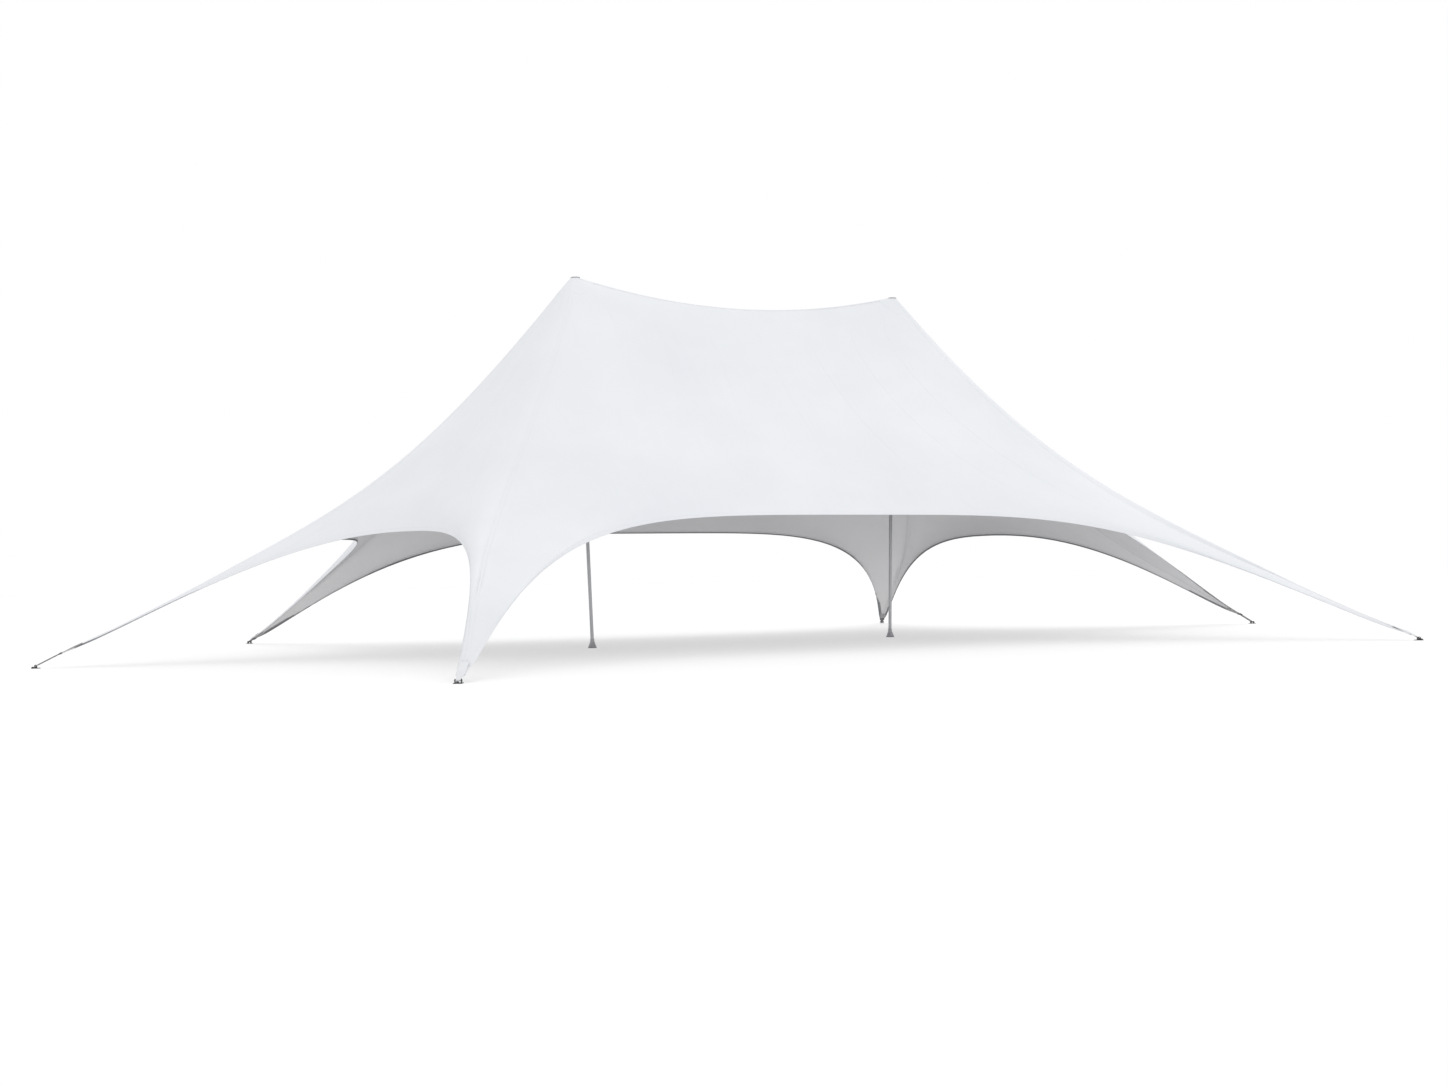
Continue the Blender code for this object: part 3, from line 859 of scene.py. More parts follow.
@dataclass(frozen=True)
class Arch:
    """A free edge: how far its middle lies in from and above the line between its two tips.

    The arch follows (1 - |u|^power)^blend. A higher power gives it a flatter top, and the skews
    move the deepest and the highest place of a short arch towards the end anchor.
    """

    inset: float
    inset_powers: tuple[float, float]
    rise: float
    rise_powers: tuple[float, float]
    inset_skew: float = 0.0
    rise_skew: float = 0.0
    samples: int = 1601

    def points(self, start: Vector, end: Vector, skew_sign: int, count: int) -> np.ndarray:
        """Evenly spaced points along the edge.

        Args:
            start: the first tip's corner.
            end: the last tip's corner.
            skew_sign: 1 when the end anchor comes first, otherwise -1.
            count: number of points.

        Returns:
            The points, one a row.
        """
        middle = (np.array(start) + np.array(end)) / 2
        half = (np.array(end) - np.array(start)) / 2
        towards_centre = np.array([-half[1], half[0], 0.0]) / math.hypot(half[0], half[1])
        share = np.sin(np.linspace(-math.pi / 2, math.pi / 2, self.samples))
        curve = middle + np.outer(share, half)
        for size, (power, blend), skew, way in (
                (self.inset, self.inset_powers, self.inset_skew, towards_centre),
                (self.rise, self.rise_powers, self.rise_skew, UP)):
            skewed = np.abs(share + skew_sign * skew * (1 - share ** 2))
            curve += size * np.outer(np.maximum(1 - skewed ** power, 0.0) ** blend, way)
        return at_shares(curve, np.linspace(0.0, 1.0, count))


@dataclass(frozen=True)
class Hang:
    """How far a leg line departs from the straight way, as size * u^first * (1 - u)^second.

    Here u runs from 0 at the ring to 1 at the tip.
    """

    size: float
    first: float
    second: float

    def amounts(self, share: np.ndarray) -> np.ndarray:
        """Departures at shares of the way."""
        return self.size * share ** self.first * (1 - share) ** self.second


@dataclass(frozen=True)
class Leg:
    """A leg line: its sag below the straight way, and its bow in plan to the tent's end."""

    sag: Hang
    bow: Hang
    samples: int = 1601
    spread: float = 1.2

    def points(self, ring: Vector, tip: Vector, side: Side, rows: int) -> np.ndarray:
        """Points down the line, which lie closer together near the ring.

        Args:
            ring: its start on the mast head's ring.
            tip: its end.
            side: the mast it belongs to.
            rows: number of steps.

        Returns:
            The points, one a row.
        """
        way = np.array(tip - ring)
        share = np.linspace(0.0, 1.0, self.samples)
        curve = np.array(ring) + np.outer(share, way)
        curve[:, 2] -= self.sag.amounts(share)
        if self.bow.size:
            outward = np.array([abs(way[1]), -way[0] * way[1] / abs(way[1])])
            outward *= side.value / math.hypot(way[0], way[1])
            curve[:, :2] += np.outer(self.bow.amounts(share), outward)
        return at_shares(curve, np.linspace(0.0, 1.0, rows + 1) ** self.spread)


@dataclass(frozen=True)
class Pulls:
    """Pull per metre of each kind of link, on the frame's own coarse net.

    Hoop links, which run around the masts, fade out towards the free edges as
    (1 - s^first)^second, where s runs from 0 at the ring to 1 at the edge.
    """

    long_hoop: float = 2.60
    long_radial: float = 1.0
    short_hoop: float = 10.28
    short_radial: float = 3.93
    ridge: float = 17.35
    fade: tuple[float, float] = (3.0, 3.0)


@dataclass(frozen=True)
class ClothNet:
    """A net of links in tension between rings, tips and arched edges, which finds the form.

    It has four steps for each one of the frame's own net. Hoop and radial links keep their
    pulls. The ridge stays a single line of shorter links, so its pull grows by that factor.
    """

    layout: TentLayout
    fineness: int = 4
    rows: int = 64
    ring_steps: int = 16
    ridge_steps: int = 40
    short_columns: int = 56
    pulls: Pulls = Pulls()
    long_arch: Arch = Arch(3.282, (3.77, 1.095), 1.717, (4.09, 1.236))
    short_arch: Arch = Arch(2.895, (1.835, 1.078), 1.539, (2.373, 1.256), 0.055, 0.075)
    end_leg: Leg = Leg(Hang(5.266, 1.181, 1.419), Hang(0.0, 1.0, 1.0))
    side_leg: Leg = Leg(Hang(4.604, 0.964, 1.401), Hang(2.541, 1.369, 1.422))
    tolerance: float = 1e-7
    most_rounds: int = 6000

    def columns(self, panel: Panel) -> int:
        """Steps of a panel from its first leg line to its last."""
        return 2 * self.ring_steps + self.ridge_steps if panel.is_long else self.short_columns

    def number_nodes(self) -> tuple[dict[Panel, np.ndarray], dict[tuple, int]]:
        """Number the nodes, which panels share along leg lines and ridge.

        Returns:
            Each panel's grid of node numbers, and the number of each node's key.
        """
        numbers: dict[tuple, int] = {}
        grids = {}
        for panel in Panel:
            columns, ring = self.columns(panel), self.ring_steps
            grid = np.zeros((self.rows + 1, columns + 1), dtype=int)
            for row, column in np.ndindex(grid.shape):
                key: tuple = (panel, row, column)
                if column in (0, columns):
                    key = ("leg", panel.last if column else panel.first, row)
                elif panel.is_long and row == 0 and ring <= column <= columns - ring:
                    step = column - ring
                    key = ("ridge", self.ridge_steps - step if panel is Panel.BACK else step)
                grid[row, column] = numbers.setdefault(key, len(numbers))
            grids[panel] = grid
        return grids, numbers

    def ring_arcs(self, panel: Panel) -> list[tuple[Side, float, float, int, int]]:
        """Parts of a panel's top row that lie on a ring.

        Args:
            panel: the panel.

        Returns:
            For each part its mast, its first and last angle, and its first and last column.
        """
        layout, columns = self.layout, self.columns(panel)
        begin, finish = layout.leg_angle(panel.first), layout.leg_angle(panel.last)
        first, last = panel.first.mast, panel.last.mast
        if not panel.is_long:
            return [(first, begin, finish, 0, columns)]
        ridge_angle = {Side.LEFT: 0.0, Side.RIGHT: math.pi}
        return [(first, begin, ridge_angle[first], 0, self.ring_steps),
                (last, ridge_angle[last], finish, columns - self.ring_steps, columns)]

    def held_points(self, grids: dict[Panel, np.ndarray],
                    numbers: dict[tuple, int]) -> dict[int, Sequence[float]]:
        """Places of the nodes that do not move: rings, leg lines and arched edges.

        Args:
            grids: each panel's grid of node numbers.
            numbers: the number of each node's key.

        Returns:
            The place of each held node.
        """
        layout, fine = self.layout, self.fineness
        held: dict[int, Sequence[float]] = {}
        for anchor in Anchor:
            leg = self.end_leg if anchor.is_end else self.side_leg
            ring = layout.ring_point(anchor.mast, layout.leg_angle(anchor))
            line = leg.points(ring, layout.tip(anchor), anchor.mast, self.rows)
            for row, point in enumerate(line):
                held[numbers["leg", anchor, row]] = point
        for panel, grid in grids.items():
            columns = self.columns(panel)
            for side, begin, finish, low, high in self.ring_arcs(panel):
                sweep = (finish - begin) % (2 * math.pi)
                for column in range(low, high + 1):
                    angle = begin + sweep * (column - low) / (high - low)
                    held[grid[0, column]] = layout.ring_point(side, angle)
            arch = self.long_arch if panel.is_long else self.short_arch
            corners = (layout.tip_corner(panel.first, 1), layout.tip_corner(panel.last, -1))
            skew_sign = 1 if panel.first.is_end else -1
            edge = arch.points(*corners, skew_sign, columns - 2 * fine + 1)
            for column, point in enumerate(edge, start=fine):
                held[grid[-1, column]] = point
            for step in range(fine):
                share = step / fine
                held[grid[-1, step]] = layout.tip(panel.first).lerp(corners[0], share)
                held[grid[-1, columns - step]] = layout.tip(panel.last).lerp(corners[1], share)
        return held

    def links(self, grids: dict[Panel, np.ndarray]) -> tuple[np.ndarray, np.ndarray, np.ndarray]:
        """Every link of the net once.

        Args:
            grids: each panel's grid of node numbers.

        Returns:
            The links' first nodes, their second nodes and their pulls.
        """
        pairs, pulls = [], []
        first, second = self.pulls.fade
        fade = (1 - np.linspace(0.0, 1.0, self.rows + 1) ** first) ** second
        for panel, grid in grids.items():
            hoop, radial = ((self.pulls.long_hoop, self.pulls.long_radial) if panel.is_long
                            else (self.pulls.short_hoop, self.pulls.short_radial))
            hoops = np.repeat(hoop * fade[:, None], grid.shape[1] - 1, axis=1)
            hoops[0] = self.pulls.ridge * self.fineness
            radials = np.full((grid.shape[0] - 1, grid.shape[1]), radial)
            pairs += [np.column_stack([grid[:, :-1].ravel(), grid[:, 1:].ravel()]),
                      np.column_stack([grid[:-1].ravel(), grid[1:].ravel()])]
            pulls += [hoops.ravel(), radials.ravel()]
        ordered = np.sort(np.vstack(pairs), axis=1)
        unique, first = np.unique(ordered, axis=0, return_index=True)
        return unique[:, 0], unique[:, 1], np.concatenate(pulls)[first]

    def find_form(self) -> "FoundForm":
        """Balance the net by conjugate gradients: each free node rests between its neighbours.

        Returns:
            The form that the net comes to rest in.
        """
        grids, numbers = self.number_nodes()
        held = self.held_points(grids, numbers)
        one, other, pull = self.links(grids)
        count = len(numbers)
        is_free = np.ones(count, dtype=bool)
        points = np.zeros((count, 3))
        for number, place in held.items():
            is_free[number] = False
            points[number] = place
        points[is_free] = (0.0, 0.0, self.layout.peak_height / 2)

        def unbalanced(values: np.ndarray) -> np.ndarray:
            """Pull left over at each free node.

            Args:
                values: one vector for each node.

            Returns:
                The pulls, one a row.
            """
            force = pull[:, None] * (values[one] - values[other])
            total = np.column_stack([np.bincount(one, force[:, axis], count)
                                     - np.bincount(other, force[:, axis], count)
                                     for axis in range(3)])
            total[~is_free] = 0.0
            return total

        stiffness = np.bincount(one, pull, count) + np.bincount(other, pull, count)
        residue = -unbalanced(points)
        scaled = residue / stiffness[:, None]
        direction = scaled.copy()
        energy = (residue * scaled).sum(axis=0)
        rounds = 0
        while rounds < self.most_rounds and np.abs(scaled).max() > self.tolerance:
            load = unbalanced(direction)
            step = energy / np.maximum((direction * load).sum(axis=0), 1e-30)
            points += step * direction
            residue -= step * load
            scaled = residue / stiffness[:, None]
            fresh = (residue * scaled).sum(axis=0)
            direction = scaled + fresh / np.maximum(energy, 1e-30) * direction
            energy = fresh
            rounds += 1
        log.info("form found in %d rounds on %d nodes", rounds, count)
        return FoundForm(self, grids, points)


@dataclass
class FoundForm:
    """The canopy's middle surface: its grids and points, with normals and folds."""

    net: ClothNet
    grids: dict[Panel, np.ndarray]
    points: np.ndarray
    normals: np.ndarray = field(init=False)
    # Stretch folds: depth, how far they reach, and how many fit side by side
    tip_fold: tuple[float, float, int] = (0.0022, 0.9, 7)
    peak_fold: tuple[float, float, int] = (0.0016, 0.55, 26)
    # Distance from a tip and from a peak at which the folds start, and their run to the full
    tip_fold_start: tuple[float, float] = (0.0, 0.35)
    peak_fold_start: tuple[float, float] = (0.09, 0.3)
    # Creases at the leg lines: how far to each side the cloth rounds them, and how much of its
    # height over the line between both edges a leg loses near its tip, and over what length
    crease_reach: float = 0.28
    leg_flattening: float = 0.4
    flat_length: tuple[float, float] = (0.9, 2.4)
    # Share of the rounding's reach that is averaged over, at so many places
    crease_span: float = 0.6
    crease_stops: int = 9
    # Distance from a tip and from a peak at which the rounding starts, and its run to the full
    tip_start: tuple[float, float] = (0.2, 0.6)
    peak_start: tuple[float, float] = (0.3, 0.7)

    def __post_init__(self) -> None:
        """Round the leg lines, lay the stretch folds into the surface and find its normals."""
        self.round_creases()
        self.flatten_legs()
        self.normals = self.find_normals()
        self.points = self.points + self.normals * self.fold_heights()[:, None]
        self.normals = self.find_normals()

    def round_creases(self) -> None:
        """Round the crease at each leg line, by averaging each row of nodes across it."""
        layout, normals = self.net.layout, self.find_normals()
        moved = self.points.copy()
        count = self.net.columns(Panel.LEFT_FRONT) // 2 - 1
        for anchor in Anchor:
            before, after = Panel.beside(anchor)
            for row in range(1, self.net.rows):
                numbers = np.concatenate([self.grids[before][row, -1 - count:-1],
                                          self.grids[after][row, :count + 1]])
                line = self.points[numbers]
                run = run_of(line)
                run -= run[count]
                reach = min(self.crease_reach, -run[0], run[-1])
                span = self.crease_span * np.clip(reach - np.abs(run), 0.0, None)
                stops = run[:, None] + np.outer(span, np.linspace(-1, 1, self.crease_stops))
                mean = values_at(stops, run, line).mean(axis=1)
                fade = 1.0
                for end, (start, length) in ((layout.tip(anchor), self.tip_start),
                                             (layout.peak(anchor.mast), self.peak_start)):
                    away = np.linalg.norm(line[count] - np.array(end))
                    fade *= np.clip((away - start) / length, 0.0, 1.0)
                shift = ((mean - line) * normals[numbers]).sum(axis=1) * fade
                moved[numbers] += normals[numbers] * shift[:, None]
        self.points = moved

    def flatten_legs(self) -> None:
        """Lower each leg towards the line between its two edges, most of all near its tip."""
        layout = self.net.layout
        full, none = self.flat_length
        for anchor in Anchor:
            tip, inward = np.array(layout.tip(anchor)), np.array(layout.inward(anchor))
            across = np.array(layout.across(anchor))
            before, after = Panel.beside(anchor)
            numbers = np.unique(np.concatenate([self.grids[before][1:-1].ravel(),
                                                self.grids[after][1:-1].ravel()]))
            away = self.points[numbers] - tip
            distance, aside = away @ inward, away @ across
            sides, heights = [], []
            for edge in (self.edge_line(before)[::-1], self.edge_line(after)):
                edge = edge[:len(edge) // 3] - tip
                sides.append(np.interp(distance, edge @ inward, edge @ across))
                heights.append(np.interp(distance, edge @ inward, edge[:, 2]))
            share = (aside - sides[0]) / (sides[1] - sides[0])
            chord = heights[0] + (heights[1] - heights[0]) * share
            fade = np.clip((none - distance) / (none - full), 0.0, 1.0)
            fade = fade ** 2 * (3 - 2 * fade) * (distance > 0)
            self.points[numbers, 2] -= (away[:, 2] - chord) * self.leg_flattening * fade

    def cells(self) -> np.ndarray:
        """Node numbers of every four-sided cell, anticlockwise seen from outside."""
        return np.vstack([np.column_stack([grid[:-1, :-1].ravel(), grid[1:, :-1].ravel(),
                                           grid[1:, 1:].ravel(), grid[:-1, 1:].ravel()])
                          for grid in self.grids.values()])

    def find_normals(self) -> np.ndarray:
        """Outward normal at every node, averaged over its cells.

        Returns:
            The normals, one a row.
        """
        cells = self.cells()
        corners = self.points[cells]
        spans = np.cross(corners[:, 2] - corners[:, 0], corners[:, 3] - corners[:, 1])
        normals = np.zeros_like(self.points)
        for place in range(4):
            for axis in range(3):
                normals[:, axis] += np.bincount(cells[:, place], spans[:, axis],
                                                len(self.points))
        return normals / np.linalg.norm(normals, axis=1)[:, None]

    def fold_heights(self) -> np.ndarray:
        """Height of the shallow folds that fan out from the tips and the rings.

        Returns:
            The height at each node.
        """
        layout = self.net.layout
        heights = np.zeros(len(self.points))
        depth, reach, folds = self.tip_fold
        start, length = self.tip_fold_start
        for anchor in Anchor:
            away = self.points - np.array(layout.tip(anchor))
            distance = np.linalg.norm(away, axis=1)
            angle = np.arctan2(away @ np.array(layout.across(anchor)),
                               away @ np.array(layout.inward(anchor)))
            fade = np.exp(-(distance / reach) ** 2) * np.clip((distance - start) / length, 0, 1)
            heights += depth * fade * np.cos(angle * 2 * folds)
        depth, reach, folds = self.peak_fold
        start, length = self.peak_fold_start
        for side in Side:
            away = self.points - np.array(layout.peak(side))
            distance = np.linalg.norm(away, axis=1)
            angle = np.arctan2(away[:, 1], away[:, 0])
            fade = np.exp(-(distance / reach) ** 2) * np.clip((distance - start) / length, 0, 1)
            heights += depth * fade * np.cos(angle * folds)
        return heights

    def column(self, panel: Panel, coarse_column: int) -> np.ndarray:
        """Points down one of the coarse net's columns of a panel, from the top."""
        return self.points[self.grids[panel][:, coarse_column * self.net.fineness]]

    def leg_line(self, anchor: Anchor) -> np.ndarray:
        """Points down an anchor's leg line, from the ring to the tip."""
        return self.points[self.grids[Panel.beside(anchor)[1]][:, 0]]

    def ridge_line(self) -> np.ndarray:
        """Points along the ridge, from the left ring to the right one."""
        steps = self.net.ring_steps
        return self.points[self.grids[Panel.FRONT][0, steps:-steps]]

    def edge_line(self, panel: Panel) -> np.ndarray:
        """Points along a panel's free edge, from tip corner to tip corner."""
        fine = self.net.fineness
        return self.points[self.grids[panel][-1, fine:-fine]]


class ClothSurface:
    """Finds places on the canopy's middle surface, and directions at them."""

    def __init__(self, form: FoundForm) -> None:
        """Index the surface.

        Args:
            form: the canopy's form.
        """
        self.form = form
        self.cells = form.cells()
        self.tree = BVHTree.FromPolygons(form.points.tolist(), self.cells.tolist())

    def near(self, place: Vector) -> tuple[Vector, Vector]:
        """Nearest place on the surface.

        Args:
            place: any place close to the surface.

        Returns:
            The nearest place on the surface and the outward normal there.
        """
        location, normal, cell, _ = self.tree.find_nearest(place)
        corners = self.cells[cell]
        gaps = np.linalg.norm(self.form.points[corners] - np.array(location), axis=1)
        weights = 1.0 / (gaps + 1e-4) ** 2
        smooth = Vector((self.form.normals[corners] * weights[:, None]).sum(axis=0))
        return location, smooth.normalized()

    def below(self, x: float, y: float) -> tuple[Vector, Vector]:
        """Place on the surface straight below a point of the sky, and the normal there."""
        high = Vector((x, y, self.form.net.layout.peak_height + 1.0))
        return self.near(self.tree.ray_cast(high, -UP)[0])


@dataclass(frozen=True)
class Station:
    """A place along a line on the cloth, with the directions along it, across it and outward."""

    place: Vector
    along: Vector
    across: Vector
    normal: Vector


def stations(surface: ClothSurface, line: np.ndarray, spacing: float) -> list[Station]:
    """Walk along a line on the cloth.

    Args:
        surface: the cloth's surface.
        line: points of the line.
        spacing: largest distance between stations.

    Returns:
        The stations, from the line's start to its end. Across points to the left of the walk
        seen from outside, which is into the cloth on the edges, for these run anticlockwise.
    """
    points = [Vector(point) for point in resample(line, spacing)]
    found = []
    for number, point in enumerate(points):
        ahead = points[min(number + 1, len(points) - 1)]
        behind = points[max(number - 1, 0)]
        along = (ahead - behind).normalized()
        _, normal = surface.near(point)
        across = normal.cross(along).normalized()
        found.append(Station(point, along, across, normal))
    return found


# --- Pieces of the canopy --------------------------------------------------------------------


@dataclass
class Membrane:
    """The canopy's cloth: one continuous closed sheet with a white and a grey face."""

    form: FoundForm
    thickness: float = 0.002
    flat_length: float = 20.4
    flat_width: float = 14.1

    def build(self, palette: Palette) -> Object:
        """Make the sheet.

        Args:
            palette: the tent's materials.

        Returns:
            The sheet's object.
        """
        cells = self.form.cells()
        count = len(self.form.points)
        half = self.form.normals * self.thickness / 2
        following = np.roll(cells, -1, axis=1)
        sides = np.column_stack([cells.ravel(), following.ravel()])
        directed = {tuple(side) for side in sides.tolist()}
        rim = [(two, one, one + count, two + count)
               for one, two in directed if (two, one) not in directed and one != two]
        faces = cells.tolist() + (cells[:, ::-1] + count).tolist() + rim
        mesh = bpy.data.meshes.new("canopy_membrane")
        vertices = np.vstack([self.form.points + half, self.form.points - half])
        mesh.from_pydata(vertices.tolist(), [], faces)
        mesh.materials.append(palette.outer_cloth)
        mesh.materials.append(palette.inner_cloth)
        is_inner = np.zeros(len(faces), dtype=np.int32)
        is_inner[len(cells):2 * len(cells)] = 1
        mesh.polygons.foreach_set("material_index", is_inner)
        self.map_cloth(mesh, len(rim))
        mesh.shade_smooth()
        mesh.validate()
        return place_piece("canopy_membrane", mesh)

    def map_cloth(self, mesh: Mesh, rim_faces: int) -> None:
        """Give every cell its place on the flat cloth, in metres, for the weave.

        Args:
            mesh: the sheet's mesh.
            rim_faces: number of faces around its edges, which come last.
        """
        corners = []
        for grid in self.form.grids.values():
            points = self.form.points[grid]
            down = np.zeros(grid.shape)
            down[1:] = np.cumsum(np.linalg.norm(np.diff(points, axis=0), axis=2), axis=0)
            aside = np.zeros(grid.shape)
            aside[:, 1:] = np.cumsum(np.linalg.norm(np.diff(points, axis=1), axis=2), axis=1)
            aside -= aside[:, grid.shape[1] // 2][:, None]
            flat = np.stack([aside, down], axis=2)
            corners.append(np.stack([flat[:-1, :-1], flat[1:, :-1], flat[1:, 1:],
                                     flat[:-1, 1:]], axis=2).reshape(-1, 4, 2))
        outer = np.vstack(corners)
        layer = mesh.uv_layers.new(name=CLOTH_MAP)
        values = np.concatenate([outer.ravel(), outer[:, ::-1].ravel(),
                                 np.zeros(rim_faces * 8)]).astype(np.float32)
        layer.data.foreach_set("uv", values)

    def area(self) -> float:
        """Area of the sheet's middle surface, in square metres.

        Returns:
            The area.
        """
        corners = self.form.points[self.form.cells()]
        spans = np.cross(corners[:, 2] - corners[:, 0], corners[:, 3] - corners[:, 1])
        return float(np.linalg.norm(spans, axis=1).sum() / 2)


@dataclass
class ClothTrim:
    """Everything sewn or welded to the membrane."""

    surface: ClothSurface
    membrane: Membrane
    palette: Palette
    hem_width: float = 0.050
    hem_lift: float = 0.0016
    hem_bead: float = 0.0045
    belt_width: float = 0.036
    belt_thickness: float = 0.0018
    edge_belt: tuple[float, float] = (0.004, 0.022)
    corner_belt: tuple[float, float] = (0.0235, 0.0585)
    corner_belt_reach: tuple[float, float] = (0.26, 1.15)
    end_belt: tuple[float, float] = (-0.002, 0.036)
    end_belt_reach: tuple[float, float] = (0.16, 1.9)
    end_belt_lift: float = 0.0005
    cover_width: float = 0.060
    cover_thickness: float = 0.0009
    seam_width: float = 0.040
    seam_thickness: float = 0.0007
    spacing: float = 0.09
    collar_radii: tuple[float, ...] = (0.076, 0.095, 0.12, 0.15, 0.18, 0.21, 0.24)
    collar_thickness: float = 0.0012
    patch_reach: float = 0.29
    patch_thickness: float = 0.0014
    patch_inset: float = 0.003
    # Corner flaps: on the cloth, (distance in from the tip, height, half width, fall of the
    # sides); above the strap, the same with the share of the way from pin to tip first; then
    # around the pin, by degrees
    flap_top: tuple[tuple[float, float, float, float], ...] = (
        (0.215, 0.0054, 0.048, 0.002), (0.16, 0.0062, 0.048, 0.003), (0.11, 0.0085, 0.048, 0.006),
        (0.07, 0.012, 0.048, 0.012))
    flap_strap: tuple[tuple[float, float, float, float], ...] = (
        (1.20, 0.0165, 0.049, 0.024), (1.0, 0.0165, 0.049, 0.026), (0.84, 0.0160, 0.048, 0.026),
        (0.68, 0.0140, 0.044, 0.022), (0.50, 0.0120, 0.034, 0.014), (0.30, 0.0115, 0.0268, 0.006),
        (0.12, 0.0112, 0.0265, 0.004))
    flap_turn: tuple[float, ...] = (0.0, 30.0, 60.0, 90.0, 115.0)
    flap_pin_radius: float = 0.0108
    flap_end_half: float = 0.0265
    flap_end_drop: float = 0.003
    flap_thickness: float = 0.0014
    # Lengthwise lines of a wide band, as shares of its width
    band_lines: tuple[float, ...] = (-0.5, -0.25, 0.0, 0.25, 0.5)
    collar_sides: int = 96
    patch_steps: int = 14
    patch_half_steps: int = 6
    patch_curve: float = 0.24
    seam_columns: dict[bool, tuple[int, ...]] = field(
        default_factory=lambda: {True: (3, 5, 7, 9, 11, 13, 15), False: (4, 7, 10)})

    @property
    def half(self) -> float:
        """Half the membrane's thickness."""
        return self.membrane.thickness / 2

    @property
    def hem_top(self) -> float:
        """Height of the hem's outside above the middle surface."""
        return self.half + self.hem_lift

    @property
    def weld(self) -> float:
        """Height at which what is welded on starts, inside the cloth."""
        return self.half * 0.5

    @property
    def belt_top(self) -> float:
        """Height of the belts along the edges."""
        return self.hem_top * 1.12 + self.belt_thickness

    @property
    def layout(self) -> TentLayout:
        """Places of masts, anchors and corners."""
        return self.surface.form.net.layout

    @cached_property
    def edges(self) -> dict[Panel, list[Station]]:
        """Stations along each free edge, with across pointing into the cloth."""
        return {panel: stations(self.surface, self.surface.form.edge_line(panel), self.spacing)
                for panel in Panel}

    @cached_property
    def spines(self) -> list[list[Station]]:
        """Stations along the leg lines and the ridge, from the collars on.

        Returns:
            The stations of each line.
        """
        form = self.surface.form
        lines = [form.leg_line(anchor) for anchor in Anchor] + [form.ridge_line()]
        return [stations(self.surface, self.off_collars(line, 0.8), self.spacing)
                for line in lines]

    def off_collars(self, line: np.ndarray, share: float) -> np.ndarray:
        """Points of a line that lie beyond a share of the collars' radius."""
        away = np.minimum(*(np.linalg.norm(line - np.array(self.layout.peak(side)), axis=1)
                            for side in Side))
        return line[away > self.collar_radii[-1] * share]

    def on_cloth(self, station: Station, offset: float, height: float) -> Vector:
        """Place beside a station, at a height above the cloth's middle surface."""
        place, normal = self.surface.near(station.place + station.across * offset)
        return place + normal * height

    def lay_band(self, shape: Shape, line: Sequence[Station], offsets: Sequence[float],
                 face: Face, low: float, high: float, material: Material) -> None:
        """Lay a flat closed band along a line on the cloth.

        Args:
            shape: the shape it joins.
            line: stations of the line.
            offsets: distances across the line of the band's lengthwise lines.
            face: the face of the cloth that it lies on.
            low: height of its underside above the cloth's middle surface.
            high: height of its top.
            material: its material.
        """
        sign = face.value
        rows = [[self.on_cloth(station, offset, sign * high) for offset in offsets]
                + [self.on_cloth(station, offset, sign * low) for offset in offsets[::-1]]
                for station in line]
        shape.skin(rows, material, ring=True)

    def build_bands(self, name: str, lines: Iterable[Sequence[Station]],
                    offsets: Sequence[float], face: Face, low: float, high: float,
                    material: Material) -> Object:
        """Lay bands of one kind along several lines, as one piece.

        Args:
            name: the piece's name.
            lines: stations of each line.
            offsets: as for one band, and so are the others.
            face: the face of the cloth.
            low: height of the undersides.
            high: height of the tops.
            material: their material.

        Returns:
            The bands' object.
        """
        shape = Shape(name)
        for line in lines:
            self.lay_band(shape, line, offsets, face, low, high, material)
        return shape.make()

    def build_hems(self) -> Object:
        """The folded hems: cloth turned around each free edge over a thin cord.

        Returns:
            The piece's object.
        """
        shape = Shape("canopy_hem_fold")
        top, bead, width = self.hem_top, self.hem_bead, self.hem_width
        # One half of the fold, as (distance into the cloth, height), out to the cord's crown
        outer = [(width, 0.2 * top), (width - 0.001, top), (width / 2, top * 1.04),
                 (0.008, top * 1.15), (0.0, bead * 0.85), (-bead * 0.75, bead * 0.6)]
        profile = outer + [(-bead, 0.0)] + [(offset, -height) for offset, height in outer[::-1]]
        # The cord's upper side is white, its lower side dark grey and the fold's underside a
        # darker grey: painted shade on the sides that face down
        materials = ([self.palette.outer_cloth] * 6 + [self.palette.edge_cord_shade] * 3
                     + [self.palette.hem_under_shade] * 4)
        for walk in self.edges.values():
            rows = [[self.on_cloth(station, offset, height) if offset > 0 else
                     station.place + station.across * offset + station.normal * height
                     for offset, height in profile] for station in walk]
            shape.skin(rows, materials, ring=True)
        return shape.make()

    def build_edge_belts(self) -> Object:
        """Woven belts sewn under the hems, which carry the pull of each free edge.

        Returns:
            The piece's object.
        """
        first, last = self.edge_belt
        return self.build_bands("canopy_edge_belts", self.edges.values(),
                                (first, (first + last) / 2, last), Face.INNER,
                                self.hem_top * 0.9, self.belt_top, self.palette.belt)

    def build_corner_belts(self) -> Object:
        """Belts that strengthen the cloth towards each tip, also outside on the end legs.

        Returns:
            The piece's object.
        """
        shape = Shape("canopy_corner_belts")
        first, last = self.corner_belt
        near, far = self.corner_belt_reach
        for panel, walk in self.edges.items():
            for anchor in (panel.first, panel.last):
                tip = self.layout.tip(anchor)
                part = [station for station in walk if near < (station.place - tip).length < far]
                self.lay_band(shape, part, (first, (first + last) / 2, last), Face.INNER,
                              self.weld, self.belt_top, self.palette.strap)
                if anchor.is_end:
                    self.lay_end_belt(shape, walk, tip)
        return shape.make()

